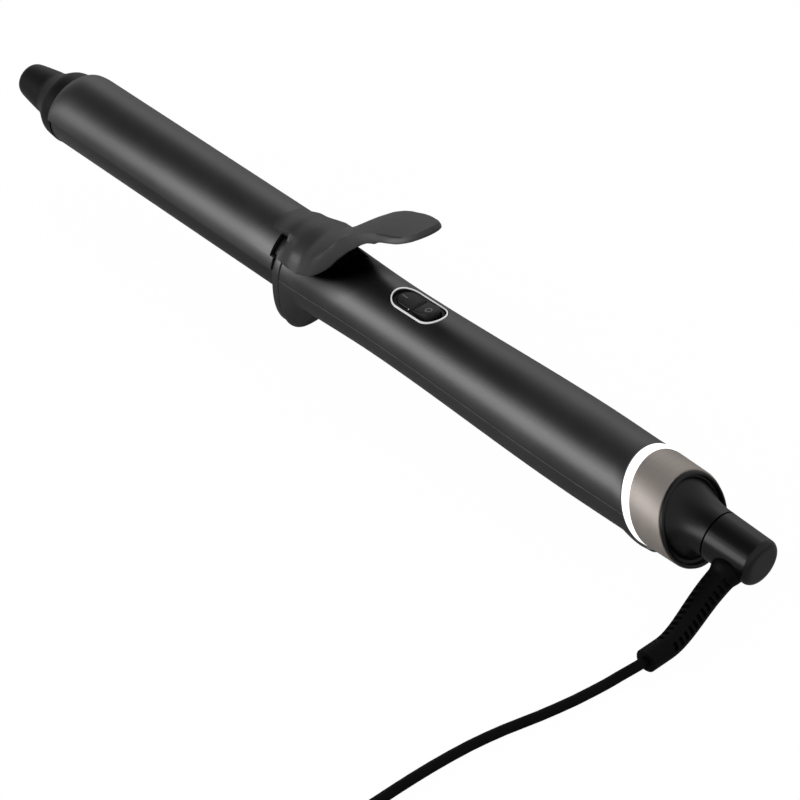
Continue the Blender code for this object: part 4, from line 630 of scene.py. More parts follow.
def lit(name, colour, strength, foot=-1.0):
    """Milky light guide that glows evenly through a faintly frosted skin, and is dark, without glow, below the height
    of foot.
    """
    nodes = Nodes(bpy.data.materials.new(name))
    frost = nodes.noise(1500.0, 2.0)
    height = nodes.spread(nodes.along(Vector((0.0, 0.0, 1.0))), foot, foot + 0.1 * MM)
    milk = nodes.blend(frost, tinted(colour, 0.97), colour)
    return nodes.finish({
        "Base Color": nodes.blend(height, (0.004, 0.004, 0.004), milk),
        "Roughness": 0.4 + (frost - 0.5) * 0.1,
        "Emission Color": nodes.blend(height, (0.0, 0.0, 0.0), colour),
        "Emission Strength": strength,
        "Normal": nodes.bump(frost, 0.1, 0.01 * MM),
    })


# Modelling by hand along the tool's axis


def edit():
    bpy.ops.object.mode_set(mode="EDIT")


def leave():
    bpy.ops.object.mode_set(mode="OBJECT")


def pick(test):
    """Selects the vertices whose places pass the test, in edit mode."""
    bpy.ops.mesh.select_mode(type="VERT")
    bpy.ops.mesh.select_all(action="DESELECT")
    mesh = bmesh.from_edit_mesh(bpy.context.object.data)
    for vertex in mesh.verts:
        vertex.select = bool(test(vertex.co))
    mesh.select_flush_mode()
    bmesh.update_edit_mesh(bpy.context.object.data)


def scale(x, y, z, about):
    bpy.ops.transform.resize(value=(x, y, z), center_override=about)


def move(x=0.0, y=0.0, z=0.0):
    bpy.ops.transform.translate(value=(x, y, z))


def rotate(angle, axis, about):
    # without a window the operator turns the other way
    bpy.ops.transform.rotate(value=-angle, orient_axis=axis, center_override=about)


def apply_modifiers(obj):
    focus(obj)
    for modifier in list(obj.modifiers):
        bpy.ops.object.modifier_apply(modifier=modifier.name)


def focus(obj):
    """Makes the object the only selected one and the active one."""
    bpy.ops.object.select_all(action="DESELECT")
    bpy.context.view_layer.objects.active = obj
    obj.select_set(True)


def modify(obj, kind, **settings):
    """Adds a modifier, applies it and takes its tool away."""
    modifier = obj.modifiers.new(kind.lower(), kind)
    for key, value in settings.items():
        setattr(modifier, key, value)
    apply_modifiers(obj)
    return obj


def cut(obj, tool, operation="DIFFERENCE", keep=False):
    modify(obj, "BOOLEAN", operation=operation, object=tool, solver="EXACT")
    if not keep:
        bpy.data.objects.remove(tool, do_unlink=True)
    return obj


def round_edges(obj, width, segments=3, angle=30.0 * DEG):
    return modify(obj, "BEVEL", width=width, segments=segments, limit_method="ANGLE", angle_limit=angle,
                  harden_normals=False)


class Tube:
    """A tube that grows ring by ring along the tool's axis."""

    def __init__(self, name, x, radius, slant=0.0, sides=ROUND_SIDES):
        bpy.ops.object.select_all(action="DESELECT")
        bpy.ops.mesh.primitive_circle_add(vertices=sides, radius=radius, location=(x, 0.0, 0.0),
                                          rotation=(0.0, math.pi / 2.0, 0.0))
        self.obj = bpy.context.object
        self.obj.name = name
        bpy.ops.object.transform_apply(location=True, rotation=True, scale=True)
        edit()
        bpy.ops.mesh.select_all(action="SELECT")
        self.x, self.radius, self.slant = x, radius, 0.0
        self.lean(slant)

    def lean(self, slant):
        """Leans the ring's plane back: a point at height z stands slant times z further forward."""
        if slant == self.slant:
            return
        old, new = math.atan(self.slant), math.atan(slant)
        centre = (self.x, 0.0, 0.0)
        scale(math.cos(old), 1.0, math.cos(old), centre)
        rotate(old - new, "Y", centre)
        scale(1.0 / math.cos(new), 1.0, 1.0 / math.cos(new), centre)
        self.slant = slant

    def grow(self, x, radius=None, slant=None):
        bpy.ops.mesh.extrude_edges_move(TRANSFORM_OT_translate={"value": (x - self.x, 0.0, 0.0)})
        self.x = x
        if radius is not None and radius != self.radius:
            share = radius / self.radius
            scale(share, share, share, (x, 0.0, 0.0))
            self.radius = radius
        if slant is not None:
            self.lean(slant)
        return self

    def cap(self):
        """Closes the last ring with a fan round one vertex."""
        bpy.ops.mesh.extrude_edges_move(TRANSFORM_OT_translate={"value": (0.0, 0.0, 0.0)})
        bpy.ops.mesh.merge(type="CENTER")
        return self


def turn(name, profile, closed=False, sides=ROUND_SIDES):
    """Turned piece through (place, radius, slant) stations: a closed ring, or a solid capped at both ends."""
    tube = Tube(name, *profile[0], sides=sides)
    for station in profile[1:]:
        tube.grow(*station)
    if closed:
        tube.grow(*profile[0])
        bpy.ops.mesh.select_all(action="SELECT")
        bpy.ops.mesh.remove_doubles(threshold=MERGE)
    else:
        tube.cap()
        bpy.ops.mesh.select_all(action="DESELECT")
        bpy.ops.mesh.select_non_manifold()
        bpy.ops.mesh.extrude_edges_move(TRANSFORM_OT_translate={"value": (0.0, 0.0, 0.0)})
        bpy.ops.mesh.merge(type="CENTER")
    face_outwards()
    leave()
    return tube.obj


def face_outwards():
    bpy.ops.mesh.select_all(action="SELECT")
    bpy.ops.mesh.normals_make_consistent(inside=False)


def flat(*stations):
    """Stations without a lean."""
    return [(x, radius, 0.0) for x, radius in stations]


def fair(stations, steps):
    """Stations on a smooth curve through the given ones."""
    pts = [Vector(s) for s in stations]
    pts = [2.0 * pts[0] - pts[1]] + pts + [2.0 * pts[-1] - pts[-2]]
    line = []
    for a, b, c, d in zip(pts, pts[1:], pts[2:], pts[3:]):
        for k in range(steps):
            t = k / steps
            line.append(0.5 * (2.0 * b + (c - a) * t + (2.0 * a - 5.0 * b + 4.0 * c - d) * t ** 2
                               + (3.0 * b - a - 3.0 * c + d) * t ** 3))
    return [tuple(p) for p in line] + [tuple(pts[-2])]


def block(name, low, high):
    """A box between two corners."""
    low, high = Vector(low), Vector(high)
    bpy.ops.object.select_all(action="DESELECT")
    bpy.ops.mesh.primitive_cube_add(size=1.0, location=(low + high) / 2.0, scale=high - low)
    bpy.ops.object.transform_apply(location=True, rotation=True, scale=True)
    bpy.context.object.name = name
    return bpy.context.object


def rod(name, start, end, radius, sides=32):
    """A round rod between two points."""
    start, end = Vector(start), Vector(end)
    bpy.ops.object.select_all(action="DESELECT")
    bpy.ops.mesh.primitive_cylinder_add(vertices=sides, radius=radius, depth=(end - start).length,
                                        location=(start + end) / 2.0,
                                        rotation=(end - start).to_track_quat("Z", "Y").to_euler())
    bpy.ops.object.transform_apply(location=True, rotation=True, scale=True)
    bpy.context.object.name = name
    return bpy.context.object


def place(obj, body, slot, material, stands_for=(), where=None, smooth=32.0 * DEG):
    """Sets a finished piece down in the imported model's frame and hands it to its body."""
    focus(obj)
    obj.matrix_world = tool_to_world() if where is None else where
    bpy.ops.object.transform_apply(location=True, rotation=True, scale=True)
    bpy.ops.object.shade_smooth_by_angle(angle=smooth)
    obj.data.materials.clear()
    obj.data.materials.append(material)
    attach(obj, body)
    if stands_for:
        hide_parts(*stands_for)
    return obj


def copy_of(obj, name):
    """A copy of a finished shape with a mesh of its own."""
    focus(obj)
    bpy.ops.object.duplicate(linked=False)
    bpy.context.object.name = name
    return bpy.context.object


def reshape(obj, rule):
    """Moves every vertex of the mesh to the place that the rule gives for it."""
    focus(obj)
    edit()
    mesh = bmesh.from_edit_mesh(obj.data)
    for vertex in mesh.verts:
        vertex.co = rule(vertex.co.copy())
    bmesh.update_edit_mesh(obj.data)
    leave()


def close_holes(obj):
    focus(obj)
    edit()
    bpy.ops.mesh.select_all(action="DESELECT")
    bpy.ops.mesh.select_non_manifold()
    bpy.ops.mesh.fill_holes(sides=0)
    face_outwards()
    leave()


# Barrel, tip, clip and lever


class TONG_OT_barrel(bpy.types.Operator):
    """Turn the barrel and the cool tip"""

    bl_idname = "tong.barrel"
    bl_label = "Barrel and Tip"

    def execute(self, context):
        colours = context.scene.tong_colours
        inner = BARREL_R - BARREL_WALL
        barrel = turn("barrel_tube", flat((BARREL_FRONT_X, BARREL_R), (BARREL_REAR_X, BARREL_R),
                                          (BARREL_REAR_X, inner), (BARREL_FRONT_X, inner)), closed=True)
        round_edges(barrel, BARREL_EDGE)
        place(barrel, "handle", "barrel_coating", coated("barrel_coat", colours.barrel, 0.36), ["barrel"])
        cup_end = BARREL_FRONT_X - SEAT_GAP
        length = cup_end - TIP_END_X
        outline = fair([(TIP_END_X + share * length, part * BARREL_R, 0.0) for share, part in TIP_OUTLINE_SHARES], 4)
        spigot_r = inner - SEAT_GAP
        outline += flat((cup_end, spigot_r), (cup_end + TIP_SPIGOT_LENGTH, spigot_r))
        tip = turn("tip_moulding", outline)
        place(tip, "handle", "satin_black", coated("tip_black", colours.tip, 0.4, metal=0.7), ["cool_tip"])
        return {"FINISHED"}


class TONG_OT_clip(bpy.types.Operator):
    """Bend the clip plate over the barrel"""

    bl_idname = "tong.clip"
    bl_label = "Clip Plate"

    def execute(self, context):
        outer = CLIP_INNER_R + CLIP_WALL
        sleeve = Tube("clip_shell", CLIP_FRONT_X, outer)
        limit = outer * math.cos(CLIP_HALF_ANGLE)
        pick(lambda p: p.z < limit - MERGE)
        bpy.ops.mesh.delete(type="VERT")
        bpy.ops.mesh.select_all(action="SELECT")
        # the front shoulder turns down to the barrel
        for share in (0.03, 0.1, 0.22, 0.38, 0.58, 0.8, 1.0):
            sleeve.grow(CLIP_FRONT_X + share * CLIP_SHOULDER_LENGTH)
        tongue_rear = CLIP_REAR_X + TONGUE_LENGTH
        for share in (0.25, 0.5, 0.75, 1.0):
            sleeve.grow(mix(CLIP_FRONT_X + CLIP_SHOULDER_LENGTH, tongue_rear, share))
        for share in (0.0, 0.03, 0.1, 0.22, 0.38, 0.58, 0.8):
            bend = 1.0 - math.sqrt(1.0 - (1.0 - share) ** 2)
            x = CLIP_FRONT_X + share * CLIP_SHOULDER_LENGTH
            pick(lambda p, x=x: abs(p.x - x) < MERGE)
            narrow = (outer - CLIP_SHOULDER_FALL * bend) / outer
            scale(1.0, 1.0, narrow, (x, 0.0, 0.0))
        bpy.ops.mesh.select_all(action="SELECT")
        move(z=CLIP_RISE)
        leave()
        clip = sleeve.obj
        modify(clip, "SOLIDIFY", thickness=CLIP_WALL, offset=-1.0)
        # below the slot the plate runs on to the collar
        half, wide = outer * math.sin(SLOT_TOP_ANGLE), 2.0 * outer
        skirt = CLIP_RISE + outer * math.cos(SADDLE_HALF_ANGLE)
        for low, high in ((half, wide), (-wide, -half)):
            for front, bottom in ((COLLAR_FRONT_X - SKIRT_GAP, -wide), (CLIP_REAR_X, skirt)):
                cut(clip, block("side", (front, low, bottom), (tongue_rear + MM, high, wide)))
        round_edges(clip, context.scene.tong_sizes.clip_edge)
        finish = coated("clip_coat", context.scene.tong_colours.clip, 0.38)
        place(clip, "clip_lever", "clip_coating", finish, ["clip_plate"])
        return {"FINISHED"}


def lever_crown(x):
    """Height of the lever's middle line above the tool's axis."""
    share = max((x - SADDLE_REAR_X) / (PAD_END_X - SADDLE_REAR_X), 0.0)
    rise = CROWN_LINE_SHARES[-1][1]
    for (s0, z0), (s1, z1) in zip(CROWN_LINE_SHARES, CROWN_LINE_SHARES[1:]):
        if share <= s1:
            rise = mix(z0, z1, (share - s0) / (s1 - s0))
            break
    return CLIP_RISE + SADDLE_INNER_R + SADDLE_WALL + CROWN_RISE * rise


def lever_half_width(x):
    saddle = (SADDLE_INNER_R + SADDLE_WALL) * math.sin(SADDLE_HALF_ANGLE)
    pad_middle = PAD_END_X - PAD_ROUND_LENGTH
    if x <= NECK_X:
        return mix(saddle, NECK_HALF_WIDTH, ease((x - SADDLE_WIDE_X) / (NECK_X - SADDLE_WIDE_X)))
    return mix(NECK_HALF_WIDTH, PAD_HALF_WIDTH, ease((x - NECK_X) / (pad_middle - NECK_X)))


def lever_depth(x):
    """How far the lever's edges hang below its middle line."""
    for (x0, depth0), (x1, depth1) in zip(LEVER_DEPTHS, LEVER_DEPTHS[1:]):
        if x <= x1:
            return mix(depth0, depth1, max((x - x0) / (x1 - x0), 0.0))
    return LEVER_DEPTHS[-1][1]


def shoulder(x, angle):
    """How much the saddle swells over its clip and under the neck."""
    along = ease((x - SLOT_REAR_X) / SADDLE_RAMP) * (1.0 - ease((x - SADDLE_WIDE_X) / (PAD_FLAT_X - SADDLE_WIDE_X)))
    return SHOULDER_RISE * along * (1.0 - ease((abs(angle) - SHOULDER_ANGLE) / (SADDLE_HALF_ANGLE - SHOULDER_ANGLE)))


def lever_point(point):
    """Where a point of the straight saddle tube goes on the lever: saddle, then neck, then the oval pad.

    Past the saddle the section turns from an arc into a flat top with a leaning side below a clear edge, and
    that edge keeps its distance from the outline round the pad's end.
    """
    x = point.x
    outer = SADDLE_INNER_R + SADDLE_WALL
    pad_middle = PAD_END_X - PAD_ROUND_LENGTH
    wall = SADDLE_WALL if math.hypot(point.y, point.z) < outer - SADDLE_WALL / 2.0 else 0.0
    if x < SLOT_REAR_X - MERGE:
        # the nose over the clip plate's tongue
        under = SADDLE_INNER_R - SADDLE_GAP + 0.02 * MM
        rise = ease((x - SLOT_REAR_X + NOSE_LENGTH) / NOSE_LENGTH)
        radius = under if wall else mix(under + 0.05 * MM, outer, rise)
        share = radius / math.hypot(point.y, point.z)
        return Vector((x, point.y * share, point.z * share + CLIP_RISE))
    if x <= SADDLE_REAR_X + MERGE:
        # beside the tongue the front edge lies as low as the clip plate
        angle = abs(math.atan2(point.y, point.z))
        low = ease((angle - SLOT_TOP_ANGLE) / (10.0 * DEG)) * (1.0 - ease((x - SLOT_REAR_X) / SADDLE_RAMP))
        share = 1.0 + (shoulder(x, angle) - low * SADDLE_FRONT_DROP) / outer
        return Vector((x, point.y * share, point.z * share + CLIP_RISE))
    flatness = ease((x - SADDLE_REAR_X) / (PAD_FLAT_X - SADDLE_REAR_X))
    angle = math.atan2(point.y, point.z)
    reach = abs(angle) / SADDLE_HALF_ANGLE
    hand = -1.0 if point.y < 0.0 else 1.0
    arc_y = math.sin(abs(angle)) / math.sin(SADDLE_HALF_ANGLE)
    arc_fall = (1.0 - math.cos(angle)) / (1.0 - math.cos(SADDLE_HALF_ANGLE))
    half, depth = lever_half_width(x), lever_depth(x)
    round_share = min(max((x - pad_middle) / PAD_ROUND_LENGTH, 0.0), 1.0)
    top_fall = PAD_TOP_FALL * (1.0 - round_share ** 2)
    if reach < PAD_TOP_SHARE:
        share = reach / PAD_TOP_SHARE
        inset, flat_y, flat_fall = 1.0, share * (half - PAD_SIDE_LEAN), top_fall * share ** 2 / depth
    else:
        share = min((reach - PAD_TOP_SHARE) / (1.0 - PAD_TOP_SHARE), 1.0)
        lean = math.sin(share * math.pi / 2.0)
        inset, flat_y = 1.0 - lean, half - PAD_SIDE_LEAN * (1.0 - lean)
        flat_fall = mix(top_fall / depth, 1.0, share)
    y = mix(arc_y * half, flat_y, flatness)
    fall = mix(arc_fall, flat_fall, flatness) * depth
    dish = flatness * PAD_DISH_DEPTH * (1.0 - min(y / half, 1.0) ** 2) * ease((x - NECK_X) / (PAD_END_X - NECK_X))
    swell = shoulder(x, angle)
    y *= 1.0 + (swell - wall) / half
    fall *= 1.0 - wall / depth
    if x > pad_middle:
        y *= math.sqrt(1.0 - round_share ** 2)
        x = pad_middle + (PAD_ROUND_LENGTH - PAD_SIDE_LEAN * inset - wall) * round_share
    return Vector((x, hand * y, lever_crown(x) + swell - wall - fall - dish))


class TONG_OT_lever(bpy.types.Operator):
    """Shape the thumb lever: saddle with its nose, neck and dished pad"""

    bl_idname = "tong.lever"
    bl_label = "Thumb Lever"

    def execute(self, context):
        outer = SADDLE_INNER_R + SADDLE_WALL
        nose_x = SLOT_REAR_X - NOSE_LENGTH
        lever = Tube("lever_moulding", nose_x, outer, sides=LEVER_SIDES)
        limit = outer * math.cos(SADDLE_HALF_ANGLE)
        pick(lambda p: p.z < limit - MERGE)
        bpy.ops.mesh.delete(type="VERT")
        bpy.ops.mesh.select_all(action="SELECT")
        pad_middle = PAD_END_X - PAD_ROUND_LENGTH
        places = [mix(nose_x, SLOT_REAR_X, k / 12.0) for k in range(1, 13)]
        places += [mix(SLOT_REAR_X, SADDLE_REAR_X, k / 10.0) for k in range(1, 11)]
        places += [mix(SADDLE_REAR_X, pad_middle, k / 32.0) for k in range(1, 33)]
        places += [pad_middle + PAD_ROUND_LENGTH * math.sin(k / 16.0 * math.pi / 2.0) for k in range(1, 17)]
        for x in places:
            lever.grow(x)
        leave()
        modify(lever.obj, "SOLIDIFY", thickness=SADDLE_WALL, offset=-1.0)
        # the last row closes on itself, so its own faces go
        edit()
        pick(lambda p: p.x > PAD_END_X - MERGE)
        bpy.ops.mesh.select_mode(type="FACE")
        bpy.ops.mesh.delete(type="ONLY_FACE")
        leave()
        reshape(lever.obj, lever_point)
        edit()
        bpy.ops.mesh.select_mode(type="VERT")
        bpy.ops.mesh.select_all(action="SELECT")
        bpy.ops.mesh.remove_doubles(threshold=MERGE)
        face_outwards()
        leave()
        half, wide = outer * math.sin(SLOT_TOP_ANGLE), 2.0 * outer
        for low, high in ((half, wide), (-wide, -half)):
            cut(lever.obj, block("side", (nose_x - MM, low, -wide), (SLOT_REAR_X, high, wide)))
        round_edges(lever.obj, context.scene.tong_sizes.lever_edge, angle=60.0 * DEG)
        colours = context.scene.tong_colours
        place(lever.obj, "clip_lever", "charcoal", coated("lever_charcoal", colours.lever, 0.42, metal=0.7),
              ["thumb_lever"], smooth=44.0 * DEG)
        return {"FINISHED"}


# Handle


def handle_rear():
    return RING_FRONT_S - SEAT_GAP


def handle_radius(x):
    if x <= WAIST_X:
        return mix(HANDLE_FRONT_R, WAIST_R, ease((x - HANDLE_FRONT_X) / (WAIST_X - HANDLE_FRONT_X)))
    if x <= BELLY_X:
        return mix(WAIST_R, BELLY_R, ease((x - WAIST_X) / (BELLY_X - WAIST_X)))
    return mix(BELLY_R, HANDLE_REAR_R, ease((x - BELLY_X) / (handle_rear() - BELLY_X)))


def keel_drop(x):
    share = min(max((x - HANDLE_FRONT_X) / (KEEL_END_X - HANDLE_FRONT_X), 0.0), 1.0)
    return KEEL_DROP * (1.0 - share * share * (2.0 - share))


def keeled(point, drop, power):
    """A point below the parting plane, moved from the round onto the fuller outline of the keel."""
    radius = math.hypot(point.y, point.z)
    if point.z > -MERGE or radius < MERGE:
        return point
    y, z = (math.copysign(abs(part / radius) ** (2.0 / power), part) for part in (point.y, point.z))
    return Vector((point.x, radius * y, (radius + drop) * z))


def end_slant(x):
    return RING_SLANT * ease((x - SLANT_START_X) / (handle_rear() - SLANT_START_X))


def shell_stations():
    keel = [mix(HANDLE_FRONT_X, KEEL_END_X, k / 12.0) for k in range(13)]
    grip = [mix(KEEL_END_X, handle_rear(), k / 36.0) for k in range(1, 37)]
    return keel + grip


def shell_blank(name, inset=0.0):
    """Open tube with the outline of the handle, keel included."""
    stations = shell_stations()
    tube = Tube(name, stations[0], handle_radius(stations[0]) - inset)
    for x in stations[1:]:
        tube.grow(x, handle_radius(x) - inset, end_slant(x))
    leave()

    def hang(p):
        drop = keel_drop(p.x) if p.x < KEEL_END_X else 0.0
        return keeled(p, drop, mix(2.0, KEEL_POWER, drop / KEEL_DROP)) if drop > 0.0 else p

    reshape(tube.obj, hang)
    return tube.obj


def halve(obj, upper, half_seam):
    """Keeps one side of the parting plane, back by half a seam."""
    side = 1.0 if upper else -1.0
    edit()
    bpy.ops.mesh.select_all(action="SELECT")
    bpy.ops.mesh.bisect(plane_co=(0.0, 0.0, side * half_seam), plane_no=(0.0, 0.0, side), clear_inner=True)
    leave()
    return obj


class TONG_OT_handle(bpy.types.Operator):
    """Mould the handle's two shells and the front collar"""

    bl_idname = "tong.handle"
    bl_label = "Handle"

    def execute(self, context):
        sizes = context.scene.tong_sizes
        # painted shade under the thumb lever, on the upper shell and the front collar
        under_lever = tool_to_world() @ (Vector((-163.0, 5.0, 14.0)) * MM)
        finish = coated("handle_coat", context.scene.tong_colours.handle, 0.38,
                        shade=(under_lever, Vector((19.0, 20.0, 20.0)) * MM))
        upper = halve(shell_blank("handle_top"), True, sizes.seam / 2.0)
        modify(upper, "SOLIDIFY", thickness=SHELL_WALL, offset=-1.0)
        round_edges(upper, sizes.seam_edge, segments=4)
        cut(upper, block("window", (HANDLE_FRONT_X - MM, -WINDOW_HALF_WIDTH, HINGE_Z),
                         (WINDOW_REAR_X, WINDOW_HALF_WIDTH, 2.0 * HANDLE_FRONT_R)))
        cut(upper, stadium_block("switch_opening", BEZEL_LENGTH + 2.0 * SEAT_GAP, BEZEL_WIDTH + 2.0 * SEAT_GAP,
                                 SWITCH_BASE_Z, 2.0 * HANDLE_FRONT_R))
        # painted shade inside the rear foot lip, on the lower shell
        lip_place = tool_to_world() @ (Vector((-3.0, 0.0, -14.0)) * MM)
        lower_finish = coated("handle_base_coat", context.scene.tong_colours.handle, 0.38,
                              shade=(lip_place, Vector((7.5, 14.0, 5.0)) * MM))
        lower = halve(shell_blank("handle_base"), False, sizes.seam / 2.0)
        modify(lower, "SOLIDIFY", thickness=SHELL_WALL, offset=-1.0)
        round_edges(lower, sizes.seam_edge, segments=4)
        cut(lower, self.foot_lip(), "UNION")
        for x in SHELL_SCREW_XS:
            deep = -handle_radius(x) - MM
            cut(lower, rod("boss", (x, 0.0, -handle_radius(x) + SHELL_WALL / 2.0), (x, 0.0, -HALF_SEAM), BOSS_R),
                "UNION")
            cut(lower, rod("head_bore", (x, 0.0, deep), (x, 0.0, BOSS_FLOOR_Z), BOSS_HEAD_R))
        place(upper, "handle", "handle_black", finish, ["handle_upper_shell"])
        place(lower, "handle", "handle_black", lower_finish, ["handle_lower_shell"])
        self.cut_feet(lower)
        self.collar(finish, sizes.collar_edge)
        return {"FINISHED"}

    @staticmethod
    def foot_lip():
        """Crescent under the light ring: a round bar set lower than the bore that is cut through it."""
        bore = RING_FRONT_R + SEAT_GAP
        rim = math.cos(LIP_HALF_ANGLE)
        drop = LIP_SWELL / (1.0 - rim)
        step = handle_rear()
        hidden = HANDLE_REAR_R - 0.4 * MM
        lip = Tube("foot_lip", LIP_START_S, hidden, RING_SLANT)
        path = [(LIP_START_S, RING_SLANT, 0.0)]
        path += [(mix(LIP_START_S, step, k / 8.0), RING_SLANT, ease(k / 8.0)) for k in range(1, 9)]
        path.append((LIP_END_X, 0.0, 1.0))
        for (x, slant, share), (_, _, before) in zip(path[1:], path):
            lip.grow(x, mix(hidden, bore - drop * rim, share), slant)
            move(z=-drop * (share - before))
        leave()
        obj = lip.obj
        close_holes(obj)
        cut(obj, block("above", (2.0 * LIP_START_S, -2.0 * bore, -HALF_SEAM), (20.0 * MM, 2.0 * bore, 2.0 * bore)))
        return cut(obj, turn("lip_bore", [(LIP_START_S - MM, HANDLE_REAR_R - SHELL_WALL / 2.0, RING_SLANT),
                                          (step, HANDLE_REAR_R - SHELL_WALL / 2.0, RING_SLANT),
                                          (step, bore, RING_SLANT), (20.0 * MM, bore, RING_SLANT)]))

    @staticmethod
    def cut_feet(lower):
        """Both feet end in small flats on the plane that the tool stands on."""
        focus(lower)
        edit()
        bpy.ops.mesh.select_all(action="SELECT")
        bpy.ops.mesh.bisect(plane_co=(0.0, 0.0, 0.0), plane_no=(0.0, 0.0, 1.0), clear_inner=True, use_fill=True)
        leave()

    @staticmethod
    def collar(finish, edge):
        bore = BARREL_R + SEAT_GAP
        stations = flat((COLLAR_FRONT_X, HANDLE_FRONT_R), (COLLAR_REAR_X, HANDLE_FRONT_R), (COLLAR_REAR_X, bore),
                        (COLLAR_FRONT_X, bore))
        obj = turn("collar_plate", stations, closed=True)
        middle = mix(bore, HANDLE_FRONT_R, 0.5)
        reshape(obj, lambda p: keeled(p, COLLAR_KEEL_DROP, KEEL_POWER) if math.hypot(p.y, p.z) > middle else p)
        round_edges(obj, edge)
        place(obj, "handle", "handle_black", finish, ["front_collar"])


# Rocker switch


def stadium_block(name, length, width, low, high, sides=48):
    """Upright block with half-round ends, in the middle of the switch."""
    bpy.ops.object.select_all(action="DESELECT")
    bpy.ops.mesh.primitive_cylinder_add(vertices=sides, radius=width / 2.0, depth=high - low,
                                        location=(SWITCH_X, 0.0, (low + high) / 2.0),
                                        rotation=(0.0, 0.0, math.pi / sides))
    obj = bpy.context.object
    obj.name = name
    bpy.ops.object.transform_apply(location=True, rotation=True, scale=True)
    edit()
    for side in (-1.0, 1.0):
        pick(lambda p, side=side: side * (p.x - SWITCH_X) > MERGE)
        move(x=side * (length - width) / 2.0)
    leave()
    return obj


def skin_height(x, y):
    return math.sqrt(handle_radius(x) ** 2 - y * y)


class TONG_OT_switch(bpy.types.Operator):
    """Set the bright ring, the switch and its rocker into the handle"""

    bl_idname = "tong.switch"
    bl_label = "Rocker Switch"

    def execute(self, context):
        sizes, colours = context.scene.tong_sizes, context.scene.tong_colours
        dark = moulded("switch_black", colours.switch, 0.55)
        # the bright ring round the switch gets a painted glow of 0.4
        self.bezel(plated("bezel_bright", colours.bezel, 0.25, glow=0.4), dark, sizes.bezel_edge)
        self.body(dark, colours)
        self.rocker(moulded("rocker_black", colours.switch, 0.5, grain=0.35), sizes.rocker_edge)
        self.marks(moulded("mark_print", colours.marks, 0.55), sizes.mark_line)
        return {"FINISHED"}

    @staticmethod
    def skinned_ring(name, line, proud, depth):
        """A stadium ring that follows the handle's skin, from a little proud of it down to a depth."""
        ring = stadium_block(name, BEZEL_LENGTH, BEZEL_WIDTH, SWITCH_BASE_Z, 2.0 * HANDLE_FRONT_R, sides=96)
        cut(ring, stadium_block("inside", BEZEL_LENGTH - 2.0 * line, BEZEL_WIDTH - 2.0 * line, 0.0,
                                3.0 * HANDLE_FRONT_R, sides=96))
        for inset, operation in ((-proud, "INTERSECT"), (depth, "DIFFERENCE")):
            skin = shell_blank("skin", inset=inset)
            close_holes(skin)
            cut(ring, skin, operation)
        return ring

    def bezel(self, finish, dark, edge):
        ring = self.skinned_ring("bezel_ring", BEZEL_BRIGHT_LINE, BEZEL_PROUD, BEZEL_BRIGHT_DEPTH)
        round_edges(ring, edge, segments=2, angle=50.0 * DEG)
        place(ring, "handle", "bright_trim", finish, ["switch_bezel"])
        liner = self.skinned_ring("bezel_liner", BEZEL_LINE, -BEZEL_BRIGHT_DEPTH, 3.0 * BEZEL_DEPTH)
        place(liner, "handle", "matte_black", dark)

    @staticmethod
    def body(finish, colours):
        gap = 2.0 * (BEZEL_LINE + SEAT_GAP)
        body = stadium_block("switch_case", BEZEL_LENGTH - gap, BEZEL_WIDTH - gap, SWITCH_BASE_Z, SWITCH_TOP_Z)
        cut(body, stadium_block("well", ROCKER_LENGTH + 4.0 * SEAT_GAP, ROCKER_WIDTH + 2.0 * SEAT_GAP, WELL_FLOOR_Z,
                                SWITCH_TOP_Z + MM))
        cut(body, rod("lens_socket", (INDICATOR_X, INDICATOR_Y, SWITCH_TOP_Z - INDICATOR_DEPTH - SEAT_GAP),
                      (INDICATOR_X, INDICATOR_Y, SWITCH_TOP_Z + MM), INDICATOR_R + SEAT_GAP / 2.0))
        round_edges(body, SWITCH_EDGE)
        place(body, "handle", "matte_black", finish, ["switch_body"])
        lens = turn("lens_dot", flat((-INDICATOR_DEPTH, INDICATOR_R), (-0.5 * MM, INDICATOR_R), (-0.45 * MM, LENS_DOME_R),
                                     *[(LENS_RISE * math.sin(k * math.pi / 12.0), LENS_DOME_R * math.cos(k * math.pi / 12.0))
                                       for k in range(1, 6)]), sides=32)
        reshape(lens, lambda p: Vector((INDICATOR_X + p.y, INDICATOR_Y + LENS_SHIFT * ease(p.x / LENS_RISE) + p.z,
                                        SWITCH_TOP_Z + p.x)))
        edit()
        face_outwards()
        leave()
        tip = tool_to_world() @ Vector((INDICATOR_X, INDICATOR_Y, SWITCH_TOP_Z + LENS_DARK))
        place(lens, "handle", "ring_white", lit("lens_white", colours.ring, 0.05, tip.z), ["indicator_lens"])

    @staticmethod
    def rocker(finish, edge):
        """Two leaning halves with a valley between them, and the front half pressed down."""
        cap = stadium_block("rocker_cap_moulding", ROCKER_LENGTH, ROCKER_WIDTH, ROCKER_BASE_Z, ROCKER_RIDGE_Z, sides=64)
        edit()
        for x in (-0.9, -0.45, 0.0, 0.45, 0.9):
            bpy.ops.mesh.select_all(action="SELECT")
            bpy.ops.mesh.bisect(plane_co=(SWITCH_X + x * VALLEY_HALF, 0.0, 0.0), plane_no=(1.0, 0.0, 0.0))
        leave()

        def lean(p):
            if p.z < ROCKER_RIDGE_Z - MERGE:
                return p
            away = abs(p.x - SWITCH_X)
            valley = VALLEY_DEPTH * (1.0 - ease(away / VALLEY_HALF))
            return Vector((p.x, p.y, p.z + away * math.tan(ROCKER_TILT) - valley))

        reshape(cap, lean)
        round_edges(cap, edge, segments=4, angle=40.0 * DEG)
        TONG_OT_switch.press(cap)
        place(cap, "rocker_cap", "matte_black", finish, ["rocker"])

    @staticmethod
    def press(obj):
        focus(obj)
        edit()
        bpy.ops.mesh.select_all(action="SELECT")
        rotate(-ROCKER_TILT, "Y", (SWITCH_X, 0.0, ROCKER_PIVOT_Z))
        leave()

